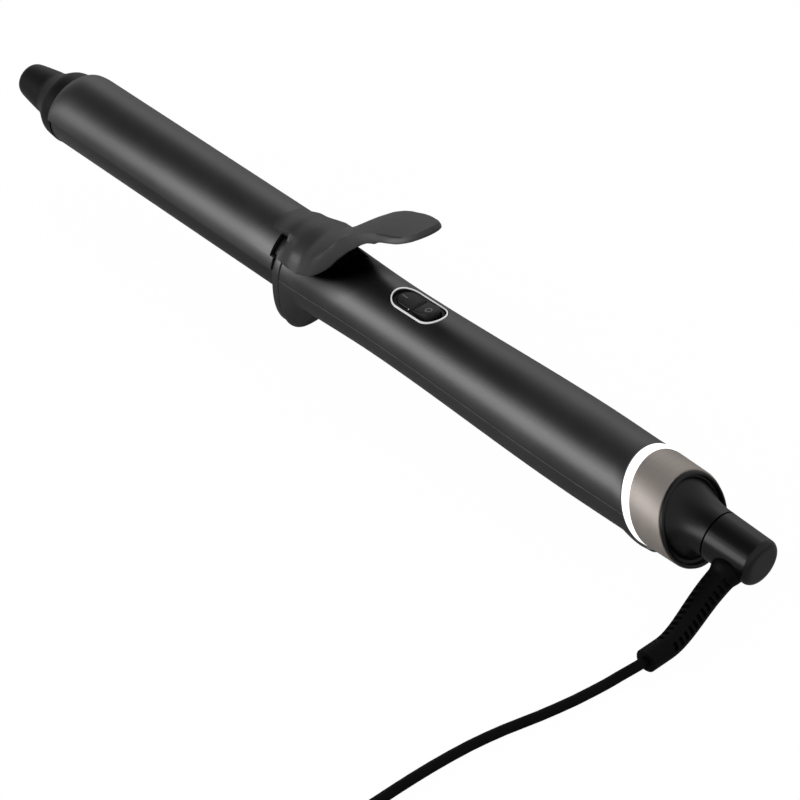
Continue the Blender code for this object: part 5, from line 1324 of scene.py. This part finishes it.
    @staticmethod
    def marks(finish, line):
        """Bar and ring, the usual marks for on and off, printed on the rocker's two halves."""
        middle = SWITCH_X + BAR_PLACE[0]
        bar = block("mark_bar", (middle - MARK_LENGTH / 2.0, -line / 2.0, 0.0),
                    (middle + MARK_LENGTH / 2.0, line / 2.0, 2.0 * MARK_PROUD))
        bpy.ops.object.select_all(action="DESELECT")
        bpy.ops.mesh.primitive_torus_add(location=(SWITCH_X + CIRCLE_PLACE[0], 0.0, MARK_PROUD), minor_segments=8,
                                         major_segments=48, major_radius=MARK_R - line / 2.0, minor_radius=line / 2.0)
        ring = bpy.context.object
        ring.name = "mark_ring"
        bpy.ops.object.transform_apply(location=True, rotation=True, scale=True)
        edit()
        bpy.ops.mesh.select_all(action="SELECT")
        scale(1.0, 1.0, 2.0 * MARK_PROUD / line, (SWITCH_X, 0.0, MARK_PROUD))
        leave()
        for mark, shift in ((bar, BAR_PLACE[1]), (ring, CIRCLE_PLACE[1])):
            reshape(mark, lambda p: Vector((p.x, p.y + shift, p.z + ROCKER_RIDGE_Z - MARK_PROUD
                                            + abs(p.x - SWITCH_X) * math.tan(ROCKER_TILT))))
            TONG_OT_switch.press(mark)
            place(mark, "rocker_cap", "matte_black", finish)


# Rear end


class TONG_OT_rear(bpy.types.Operator):
    """Turn the lit ring, the metal band, the cone and the swivel"""

    bl_idname = "tong.rear"
    bl_label = "Rear End"

    def execute(self, context):
        inner_f, inner_r = RING_FRONT_R - RING_WALL, RING_REAR_R - RING_WALL
        ring = turn("lit_ring", [(RING_FRONT_S, RING_FRONT_R, RING_SLANT), (RING_REAR_S, RING_REAR_R, RING_SLANT),
                                 (RING_REAR_S, inner_r, RING_SLANT), (RING_FRONT_S, inner_f, RING_SLANT)],
                    closed=True, sides=128)
        round_edges(ring, RING_EDGE)
        colours = context.scene.tong_colours
        place(ring, "handle", "ring_white", lit("ring_light", colours.ring, 1.0), ["light_ring"])
        front = RING_REAR_S + BAND_GAP
        band = turn("band", [(front, RING_REAR_R, RING_SLANT), (BAND_REAR_S, BAND_REAR_R, RING_SLANT),
                             (BAND_REAR_S, BAND_REAR_R - BAND_WALL, RING_SLANT),
                             (front, RING_REAR_R - BAND_WALL, RING_SLANT)], closed=True, sides=128)
        round_edges(band, BAND_EDGE)
        place(band, "handle", "band_metal", brushed("band_brushed", colours.band, 0.52, 0.7), ["metal_band"])
        self.cone(moulded("cone_black", colours.cone, 0.32, 0.5, grain=0.1))
        self.swivel(moulded("swivel_black", colours.cone, 0.24, 0.5, grain=0.1))
        return {"FINISHED"}

    @staticmethod
    def cone(finish):
        rim_front = BAND_REAR_S + SEAT_GAP
        rim_rear = rim_front + RIM_LENGTH
        spigot_r = BAND_REAR_R - BAND_WALL - SEAT_GAP
        groove_s = rim_rear - GROOVE_DEPTH
        profile = [(CONE_SPIGOT_S, spigot_r, RING_SLANT), (rim_front, spigot_r, RING_SLANT)]
        middle_r, half_r = (RIM_OUTER_R + RIM_INNER_R) / 2.0, (RIM_OUTER_R - RIM_INNER_R) / 2.0
        for k in range(9):
            a = math.pi * k / 8.0
            profile.append((rim_front + RIM_LENGTH * math.sin(a) ** 0.7, middle_r + half_r * math.cos(a), RING_SLANT))
        profile += [(groove_s, RIM_INNER_R, RING_SLANT), (groove_s, DISH_R, RING_SLANT)]
        for k in range(1, 21):
            share = k / 20.0
            radius = NECK_R + (DISH_R - NECK_R) * (1.0 - share) ** DISH_POWER
            profile.append((mix(groove_s, CONE_END_X, share), radius, RING_SLANT * (1.0 - ease(share))))
        bore = SPINDLE_R + SEAT_GAP
        inner_x = CONE_END_X - CONE_WALL
        profile += [(CONE_END_X, bore, 0.0), (inner_x, bore, 0.0), (inner_x, NECK_R - CONE_WALL / 2.0, 0.0),
                    (groove_s - CONE_WALL, DISH_R - CONE_SPIGOT_WALL, RING_SLANT),
                    (CARRIER_REAR_S, spigot_r - CONE_SPIGOT_WALL, RING_SLANT),
                    (CONE_SPIGOT_S, spigot_r - CONE_SPIGOT_WALL, RING_SLANT)]
        cone = turn("cone_moulding", profile, closed=True)
        place(cone, "handle", "satin_black", finish, ["end_cone"])

    @staticmethod
    def swivel(finish):
        front = CONE_END_X + SEAT_GAP
        cavity_r = SWIVEL_REAR_R - SWIVEL_WALL
        profile = [(SWIVEL_END_X, SWIVEL_FACE_R * 0.5)]
        for k in range(13):
            a = k / 12.0 * math.pi / 2.0
            x = mix(SWIVEL_END_X, SWIVEL_FILLET_X, 1.0 - math.cos(a))
            profile.append((x, mix(SWIVEL_FACE_R, SWIVEL_REAR_R, math.sin(a))))
        profile += [(front + SWIVEL_EDGE, SWIVEL_FRONT_R), (front, SWIVEL_FRONT_R - SWIVEL_EDGE), (front, SPINDLE_R),
                    (front - SPINDLE_LENGTH, SPINDLE_R), (front - SPINDLE_LENGTH, SPINDLE_BORE_R),
                    (front + SWIVEL_WALL, SPINDLE_BORE_R), (front + SWIVEL_WALL, cavity_r),
                    (SWIVEL_END_X - SWIVEL_WALL, cavity_r), (SWIVEL_END_X - SWIVEL_WALL, cavity_r * 0.5)]
        housing = turn("swivel_moulding", flat(*profile))
        direction = Vector((0.0, -math.cos(EXIT_ANGLE), math.sin(EXIT_ANGLE)))
        centre = Vector((EXIT_X, 0.0, 0.0))
        cut(housing, rod("exit_hole", centre + direction * (cavity_r - MM), centre + direction * 2.0 * SWIVEL_FRONT_R,
                         EXIT_HOLE_R))
        place(housing, "cord_swivel", "satin_black", finish, ["swivel_housing"])



# Cord and strain relief


def exit_frame():
    turn = tool_to_world().to_3x3()
    direction = turn @ Vector((0.0, -math.cos(EXIT_ANGLE), math.sin(EXIT_ANGLE)))
    return SWIVEL_PIVOT.copy(), direction.normalized()


def relief_end():
    centre, _ = exit_frame()
    return Vector((centre.x + RELIEF_DRIFT_X, RELIEF_REACH_Y, RELIEF_END_R + CORD_GAP / 2.0))


def coil_span():
    return COIL_PITCH * (COIL_STEPS_PER_LAYER / COIL_POINTS_PER_TURN + 0.25)


def coil_line():
    """Piled turns, in and out by layer; each climb takes the half turn in which the spiral reverses."""
    step = 2.0 * math.pi / COIL_POINTS_PER_TURN
    quarter = COIL_POINTS_PER_TURN // 4
    lift = COIL_PITCH / (2.0 * quarter)
    moves, way = [], -1.0
    for layer in range(COIL_LAYERS):
        moves += [(way, 0.0)] * COIL_STEPS_PER_LAYER
        if layer < COIL_LAYERS - 1:
            moves += [(way, lift)] * quarter + [(-way, lift)] * quarter
            way = -way
    angle, radius = COIL_START_ANGLE, COIL_MIDDLE_R + coil_span() / 2.0
    height = TIE_THICK + TIE_GAP + CORD_R
    points = []
    for way, rise in moves + [(0.0, 0.0)]:
        points.append(COIL_CENTRE + Vector((radius * math.cos(angle), radius * math.sin(angle), height)))
        angle += step
        radius += way * COIL_PITCH / COIL_POINTS_PER_TURN
        height += rise
    lead_in = (points[0] - points[1]).normalized() * COIL_END_RUN
    lead_out = (points[-1] - points[-2]).normalized() * COIL_END_RUN
    return [points[0] + lead_in] + points + [points[-1] + lead_out]


def smooth_route(route, step):
    """Points about one step apart on a smooth curve through the route's own points."""
    pts = [Vector(p) for p in route]
    pts = [2.0 * pts[0] - pts[1]] + pts + [2.0 * pts[-1] - pts[-2]]
    line = []
    for a, b, c, d in zip(pts, pts[1:], pts[2:], pts[3:]):
        count = max(2, round((c - b).length / step))
        for k in range(count):
            t = k / count
            line.append(0.5 * (2.0 * b + (c - a) * t + (2.0 * a - 5.0 * b + 4.0 * c - d) * t ** 2
                               + (3.0 * b - a - 3.0 * c + d) * t ** 3))
    return line + [pts[-2]]


def cord_line():
    """The whole cord: out of the strain relief, along the table, through the coil and on to the plug."""
    coil = coil_line()
    start = relief_end() + Vector((0.0, -CORD_GAP, 0.0))
    heading = (coil[1] - coil[0]).normalized()
    end = coil[0] - heading * CORD_GAP
    visible = smooth_route([
        start,
        (start.x - CORD_R / 8.0, start.y - 2.0 * CORD_R, start.z),
        (175.9 * MM, -57.5 * MM, 2.3 * MM),
        (175.0 * MM, -63.3 * MM, CORD_R),
        (173.6 * MM, -74.0 * MM, CORD_R),
        (171.1 * MM, -86.5 * MM, CORD_R),
        (168.2 * MM, -98.0 * MM, CORD_R),
        (166.0 * MM, -110.0 * MM, CORD_R),
        (164.7 * MM, -124.0 * MM, CORD_R),
        (164.2 * MM, -138.0 * MM, CORD_R),
        (164.2 * MM, -152.0 * MM, 1.9 * MM),
        end - heading * COIL_END_RUN,
        end,
    ], CORD_STEP)
    heading = (coil[-1] - coil[-2]).normalized()
    first = coil[-1] + heading * CORD_GAP
    last = coil[-1] + heading * PLUG_RUN
    last.z = PLUG_THICK / 2.0
    run = heading * COIL_END_RUN
    tail = smooth_route([first, first + run, first.lerp(last, 0.5), last - run, last], CORD_STEP)
    line = visible + coil + tail
    return [Vector((p.x, p.y, max(p.z, CORD_R))) for p in line]


def bezier(a, b, c, d, t):
    return a * (1 - t) ** 3 + b * 3 * t * (1 - t) ** 2 + c * 3 * t ** 2 * (1 - t) + d * t ** 3


class TONG_OT_relief(bpy.types.Operator):
    """Form the strain relief with its four rows of notches"""

    bl_idname = "tong.relief"
    bl_label = "Strain Relief"

    @staticmethod
    def path():
        """Points of the relief's middle line with their distances along it, and where the notches begin and end."""
        centre, direction = exit_frame()
        ribs_start = centre + direction * (FLARE_START + FLARE_LENGTH)
        end = relief_end()
        back = Vector((0.0, 1.0, 0.0))
        sleeve_start = end + back * RELIEF_SLEEVE
        bow = Vector((-RELIEF_BOW_X, 0.0, 0.0))
        handles = (ribs_start, ribs_start + direction * RELIEF_START_PULL + bow, sleeve_start + back * RELIEF_END_PULL,
                   sleeve_start)
        line = [centre + direction * RELIEF_SEAT_R] + [bezier(*handles, k / 200.0) for k in range(201)] + [end]
        lengths = [0.0]
        for a, b in zip(line, line[1:]):
            lengths.append(lengths[-1] + (b - a).length)
        return line, lengths, lengths[1], lengths[-2]

    def execute(self, context):
        line, lengths, first, last = self.path()
        depth = context.scene.tong_sizes.notch_depth
        count = round((last - first) / RELIEF_PITCH)
        pitch = (last - first) / count
        # a domed foot against the swivel runs out into the sleeve
        shape = [(0.0, FLARE_R - 0.6 * MM), (0.4 * MM, FLARE_R - 0.1 * MM)]
        shape += [(mix(0.9 * MM, first, k / 8.0), mix(FLARE_R, RELIEF_ROOT_R, ease(k / 8.0))) for k in range(9)]
        shape += [(first + pitch * (k + part), mix(RELIEF_ROOT_R, RELIEF_END_R, (k + part) / count))
                  for k in range(count) for part in (0.03, 0.25, 0.47, 0.53, 0.75, 0.97)]
        shape += [(last, RELIEF_END_R), (lengths[-1] - 0.3 * MM, RELIEF_END_R), (lengths[-1], RELIEF_END_R - 0.3 * MM)]
        relief = turn("relief_sleeve", flat(*shape), sides=RELIEF_SIDES)

        def bend(p):
            angle, radius = math.atan2(p.z, p.y), math.hypot(p.y, p.z)
            place = (p.x - first) / pitch
            if 0.0 < place < count and radius > RELIEF_END_R / 2.0:
                for k, row in enumerate(NOTCH_ANGLES):
                    apart = abs((angle - row + math.pi) % (2.0 * math.pi) - math.pi)
                    if apart < NOTCH_HALF_ANGLE and (place + 0.5 * (k % 2)) % 1.0 < 0.5:
                        radius -= depth
            k = max(i for i, s in enumerate(lengths[:-1]) if s <= max(p.x, 0.0) + MERGE)
            share = (p.x - lengths[k]) / (lengths[k + 1] - lengths[k])
            heading = line[k + 1] - line[k]
            if 0 < k < len(line) - 2:
                heading = mix(line[k + 1] - line[k - 1], line[k + 2] - line[k], share)
            heading.normalize()
            top = heading.cross(Vector((1.0, 0.0, 0.0))).normalized() * -1.0
            side = top.cross(heading) * -1.0
            if side.x < 0.0:
                side = -side
            if top.z < 0.0:
                top = -top
            return line[k].lerp(line[k + 1], share) + (side * math.cos(angle) + top * math.sin(angle)) * radius

        reshape(relief, bend)
        edit()
        face_outwards()
        leave()
        place(relief, "cord_swivel", "cord_rubber", rubbery("relief_rubber", context.scene.tong_colours.rubber, 0.5),
              ["strain_relief"], where=Matrix())
        return {"FINISHED"}


def plug_seat():
    """Matrix of the plug on the table: its X points out of the pins' face, from the end of the neck."""
    line = coil_line()
    heading = (line[-1] - line[-2]).normalized()
    neck = line[-1] + heading * PLUG_RUN
    neck.z = PLUG_THICK / 2.0
    up = Vector((0.0, 0.0, 1.0))
    return Matrix.Translation(neck) @ Matrix((heading, up.cross(heading), up)).transposed().to_4x4()


class TONG_OT_plug(bpy.types.Operator):
    """Mould the plug with its ribbed neck and grips, and set its two pins"""

    bl_idname = "tong.plug"
    bl_label = "Plug"

    def execute(self, context):
        where = plug_seat()
        face = PLUG_NECK_LENGTH + PLUG_LENGTH
        half_width, half_thick = PLUG_WIDTH / 2.0, PLUG_THICK / 2.0
        # place, half width, half height and fullness of the outline
        shape = [(0.0, 2.2 * MM, 2.2 * MM, 2.0), (0.4 * MM, PLUG_NECK_R, PLUG_NECK_R, 2.0)]
        for k in range(4):
            start = (1.2 + 1.6 * k) * MM
            shape += [(start + part * MM, PLUG_NECK_R - fall * MM, PLUG_NECK_R - fall * MM, 2.0)
                      for part, fall in ((0.0, 0.0), (0.1, 0.55), (0.7, 0.55), (0.8, 0.0))]
        shape.append((PLUG_NECK_LENGTH * 0.8, PLUG_NECK_R, PLUG_NECK_R, 2.0))
        for k in range(1, 13):
            share = ease(k / 12.0)
            shape.append((mix(PLUG_NECK_LENGTH * 0.8, PLUG_NECK_LENGTH + 7.0 * MM, k / 12.0),
                          mix(PLUG_NECK_R, half_width, share), mix(PLUG_NECK_R, half_thick, share), mix(2.0, 5.0, share)))
        shape += [(face - 11.0 * MM, half_width, half_thick, 5.0), (face - 1.2 * MM, half_width, half_thick, 5.0)]
        shape += [(face - 1.2 * MM + 1.2 * MM * math.sin(k * math.pi / 8.0),
                   half_width - 1.2 * MM * (1.0 - math.cos(k * math.pi / 8.0)),
                   half_thick - 1.2 * MM * (1.0 - math.cos(k * math.pi / 8.0)), 5.0) for k in range(1, 5)]
        body = turn("plug_moulding", flat(*[(x, 1.0) for x, _, _, _ in shape]), sides=96)
        outline = {round(x / MERGE): part for x, *part in shape}

        def swell(p):
            near = min(outline, key=lambda key: abs(key * MERGE - p.x))
            wide, high, power = outline[near]
            size = math.hypot(p.y, p.z)
            y, z = (math.copysign(abs(part) ** (2.0 / power), part) for part in (p.y, p.z))
            return Vector((p.x, wide * y, high * z)) if size > 0.5 else p

        reshape(body, swell)
        for k in range(5):
            x = face - (8.0 + 3.0 * k) * MM
            for hand in (-1.0, 1.0):
                y = hand * (half_width + 0.35 * MM)
                cut(body, rod("grip", (x, y, -half_thick), (x, y, half_thick), 1.1 * MM))
        for hand in (-1.0, 1.0):
            y = hand * PIN_SPACING / 2.0
            cut(body, rod("sleeve", (face - PIN_SINK, y, 0.0), (face + PIN_SLEEVE, y, 0.0), PIN_R), "UNION")
        black = moulded("plug_black", context.scene.tong_colours.rubber, 0.5)
        place(body, "cord_swivel", "matte_black", black, ["plug_body"], where=where)
        brass = machined("pin_brass", (0.72, 0.55, 0.28), 0.3)
        for name, hand in (("left", 1.0), ("right", -1.0)):
            tip = face - PIN_SINK + PIN_LENGTH
            pin = turn("pin_" + name, flat((face - PIN_SINK, PIN_R * 0.8), (face + PIN_SLEEVE, PIN_R * 0.8),
                                           (face + PIN_SLEEVE + 0.1 * MM, PIN_R), (tip - 1.0 * MM, PIN_R),
                                           *[(tip - MM * (1.0 - math.sin(k * math.pi / 12.0)),
                                              PIN_R - 1.2 * MM * (1.0 - math.cos(k * math.pi / 12.0)))
                                             for k in range(1, 7)]), sides=48)
            reshape(pin, lambda p, hand=hand: Vector((p.x, p.y + hand * PIN_SPACING / 2.0, p.z)))
            place(pin, "cord_swivel", "brass", brass, ["plug_pin_" + name], where=where)
        return {"FINISHED"}


class TONG_OT_tie(bpy.types.Operator):
    """Fold the strap round the coil"""

    bl_idname = "tong.tie"
    bl_label = "Cord Tie"

    def execute(self, context):
        half_span = (coil_span() + COIL_PITCH / 4.0) / 2.0 + CORD_R + TIE_GAP
        low = TIE_THICK
        high = low + 2.0 * (CORD_R + TIE_GAP) + COIL_PITCH * (COIL_LAYERS - 1)
        half = TIE_WIDTH / 2.0
        near, far = COIL_MIDDLE_R - half_span, COIL_MIDDLE_R + half_span
        strap = block("cord_strap", (near - TIE_THICK, -half, low - TIE_THICK), (far + TIE_THICK, half, high + TIE_THICK))
        corner = context.scene.tong_sizes.tie_edge
        self.round_corners(strap, corner)
        inside = block("inside", (near, -half - MM, low), (far, half + MM, high))
        self.round_corners(inside, corner - TIE_THICK)
        cut(strap, inside)
        lap = block("lap", (mix(near, far, 0.42), -half, high + TIE_THICK / 2.0),
                    (far - corner, half, high + TIE_THICK + TIE_LAP))
        round_edges(lap, 0.25 * MM)
        cut(strap, lap, "UNION")
        round_edges(strap, 0.12 * MM, segments=2, angle=60.0 * DEG)
        where = Matrix.Translation(COIL_CENTRE) @ Matrix.Rotation(TIE_ANGLE, 4, "Z")
        place(strap, "cord_swivel", "matte_black", woven("strap_weave", (0.008, 0.008, 0.008)), ["cord_tie"],
              where=where)
        return {"FINISHED"}

    @staticmethod
    def round_corners(obj, width):
        """Rounds the four edges that run across the strap."""
        focus(obj)
        edit()
        bpy.ops.mesh.select_mode(type="EDGE")
        bpy.ops.mesh.select_all(action="DESELECT")
        mesh = bmesh.from_edit_mesh(obj.data)
        for edge in mesh.edges:
            a, b = (vertex.co for vertex in edge.verts)
            edge.select = abs(a.x - b.x) < MERGE and abs(a.z - b.z) < MERGE
        bmesh.update_edit_mesh(obj.data)
        bpy.ops.mesh.bevel(offset=width, segments=8)
        leave()


class TONG_OT_cord(bpy.types.Operator):
    """Lay the cord on the table and wind its spare length into the coil"""

    bl_idname = "tong.cord"
    bl_label = "Cord"

    def execute(self, context):
        line = cord_line()
        curve = bpy.data.curves.new("mains_cord", "CURVE")
        curve.dimensions = "3D"
        curve.bevel_depth = CORD_R
        curve.bevel_resolution = 4
        curve.use_fill_caps = True
        spline = curve.splines.new("POLY")
        spline.points.add(len(line) - 1)
        for point, where in zip(spline.points, line):
            point.co = (*where, 1.0)
        cord = bpy.data.objects.new("mains_cord", curve)
        context.collection.objects.link(cord)
        curve.materials.append(rubbery("cord_sheath", context.scene.tong_colours.rubber, 0.55))
        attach(cord, "cord_swivel")
        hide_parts("cord", "cord_coil", "cord_tail")
        return {"FINISHED"}


class TONG_OT_inside(bpy.types.Operator):
    """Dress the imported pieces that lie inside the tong"""

    bl_idname = "tong.inside"
    bl_label = "Inner Parts"

    def execute(self, context):
        dress = [
            (fired("heater_ceramic", (0.8, 0.79, 0.76)), ["heater_plate", "temperature_sensor"]),
            (machined("spreader_aluminium", (0.7, 0.7, 0.72), 0.42),
             ["heat_spreader_upper", "heat_spreader_lower", "capacitor"]),
            (machined("inner_steel", (0.55, 0.55, 0.56), 0.38), ["thermal_fuse", "swivel_retainer"]),
            # painted shade: the hinge parts, lever spring and lever screws under the thumb lever are made near black
            # for the shade there
            (machined("dark_steel_painted_shade", (0.02, 0.02, 0.021), 0.5), ["hinge_bracket", "hinge_pin",
              "clip_hinge_arm", "lever_spring", "lever_screw_front", "lever_screw_rear"]),
            (machined("screw_steel", (0.5, 0.49, 0.46), 0.35),
             ["shell_screw_front", "shell_screw_middle", "shell_screw_rear"]),
            (machined("contact_brass", (0.7, 0.52, 0.25), 0.36),
             ["contact_disc", "contact_brush_inner", "contact_brush_outer"]),
            (moulded("holder_grey", (0.18, 0.18, 0.19), 0.6), ["barrel_bush", "brush_carrier"]),
            (printed_board("board_green", (0.02, 0.11, 0.05)), ["circuit_board", "light_board"]),
            (moulded("module_black", (0.012, 0.012, 0.013), 0.5), ["power_module", "buzzer"]),
        ]
        for material, names in dress:
            for name in names:
                obj = frame["nodes"][name]
                for slot in obj.material_slots:
                    slot.link = "OBJECT"
                    slot.material = material
        return {"FINISHED"}


class TONG_OT_stage(bpy.types.Operator):
    """Set the pale table, the studio lamps and the camera"""

    bl_idname = "tong.stage"
    bl_label = "Stage"

    def execute(self, context):
        scene = context.scene
        scene.view_settings.view_transform = "Standard"
        self.add_camera(scene)
        self.add_floor()
        self.add_lamps(scene)
        return {"FINISHED"}

    @staticmethod
    def add_camera(scene):
        bpy.ops.object.camera_add()
        camera = bpy.context.object
        camera.data.lens = CAMERA_LENS
        camera.data.sensor_width = CAMERA_SENSOR
        camera.data.clip_end = 20.0
        turn = Matrix((CAMERA_RIGHT, -CAMERA_DOWN, -CAMERA_FORWARD)).transposed().to_4x4()
        camera.matrix_world = tool_to_world() @ Matrix.Translation(CAMERA_PLACE) @ turn
        scene.camera = camera

    @staticmethod
    def add_floor():
        bpy.ops.mesh.primitive_plane_add(size=8.0, location=(0.0, 0.0, 0.0))
        floor = bpy.context.object
        floor.name = "table_top"
        nodes = Nodes(bpy.data.materials.new("pale_table"))
        seen = nodes.add("ShaderNodeLightPath", {}, {}, "Is Camera Ray")
        mottle = nodes.noise(14.0, 3.0)
        matte = nodes.add("ShaderNodeBsdfDiffuse", {},
                          {"Color": nodes.blend(mottle, (0.58, 0.58, 0.58), (0.62, 0.62, 0.62))})
        glow = nodes.add("ShaderNodeEmission", {}, {"Color": (1.0, 1.0, 1.0, 1.0), "Strength": 1.055})
        surface = nodes.add("ShaderNodeMixShader", {}, {0: seen * 0.93, 1: matte, 2: glow})
        nodes.add("ShaderNodeOutputMaterial", {}, {"Surface": surface})
        floor.data.materials.append(nodes.owner)

    @staticmethod
    def add_lamps(scene):
        """A dim zone overhead, a paler horizon and two soft panels; the camera itself sees plain white."""
        scene.world = bpy.data.worlds.new("studio")
        nodes = Nodes(scene.world)
        seen = nodes.add("ShaderNodeLightPath", {}, {}, "Is Camera Ray")
        sky = nodes.add("ShaderNodeTexCoord", {}, {}, "Generated")
        gloom = nodes.spread(nodes.along(Vector((-0.5, -0.25, 0.83)).normalized(), sky), 0.68, 0.96)
        pale = nodes.add("ShaderNodeBackground", {}, {"Color": (1.0, 1.0, 1.0, 1.0), "Strength": HORIZON_LIGHT})
        dim = nodes.add("ShaderNodeBackground", {}, {"Color": (1.0, 1.0, 1.0, 1.0), "Strength": OVERHEAD_LIGHT})
        white = nodes.add("ShaderNodeBackground", {}, {"Color": (1.0, 1.0, 1.0, 1.0), "Strength": 1.0})
        light = nodes.add("ShaderNodeMixShader", {}, {0: gloom, 1: pale, 2: dim})
        surface = nodes.add("ShaderNodeMixShader", {}, {0: seen, 1: light, 2: white})
        nodes.add("ShaderNodeOutputWorld", {}, {"Surface": surface})
        for name, place, size, power in LAMPS:
            bpy.ops.object.light_add(type="AREA", location=place)
            lamp = bpy.context.object
            lamp.name = name
            lamp.data.shape = "RECTANGLE"
            lamp.data.size, lamp.data.size_y = size
            lamp.data.energy = power
            lamp.rotation_euler = (-Vector(place)).to_track_quat("-Z", "Y").to_euler()


HORIZON_LIGHT = 0.45
OVERHEAD_LIGHT = 0.07
# name, place, (width, height), power
LAMPS = [
    ("softbox_front", (-0.42, -1.1, 0.28), (1.1, 0.56), 3.7),
    ("softbox_rear", (-0.5, -0.85, 0.58), (0.5, 0.45), 0.9),
    ("softbox_far", (-0.85, 1.1, 0.85), (1.2, 0.7), 0.9),
]


class TONG_PT_panel(bpy.types.Panel):
    """Lists the steps that build the tong"""

    bl_label = "Curling Tong"
    bl_idname = "TONG_PT_panel"
    bl_space_type = "VIEW_3D"
    bl_region_type = "UI"
    bl_category = "Curling Tong"

    def draw(self, context):
        for group in (context.scene.tong_colours, context.scene.tong_sizes):
            for name in type(group).__annotations__:
                self.layout.prop(group, name)
        for step in STEPS:
            self.layout.operator(step.bl_idname)


STEPS = [TONG_OT_stage, TONG_OT_barrel, TONG_OT_clip, TONG_OT_lever, TONG_OT_handle, TONG_OT_switch, TONG_OT_rear,
         TONG_OT_relief, TONG_OT_plug, TONG_OT_tie, TONG_OT_cord, TONG_OT_inside]
CLASSES = [TONG_PG_colours, TONG_PG_sizes, *STEPS, TONG_PT_panel]


def register():
    for cls in CLASSES:
        bpy.utils.register_class(cls)
    bpy.types.Scene.tong_colours = bpy.props.PointerProperty(type=TONG_PG_colours)
    bpy.types.Scene.tong_sizes = bpy.props.PointerProperty(type=TONG_PG_sizes)


def unregister():
    del bpy.types.Scene.tong_colours
    del bpy.types.Scene.tong_sizes
    for cls in reversed(CLASSES):
        bpy.utils.unregister_class(cls)


def run(operator):
    """Calls an operator with nothing selected."""
    bpy.ops.object.select_all(action="DESELECT")
    group, name = operator.bl_idname.split(".")
    getattr(getattr(bpy.ops, group), name)()


def main():
    register()
    for step in STEPS:
        run(step)


if __name__ == "__main__":
    main()
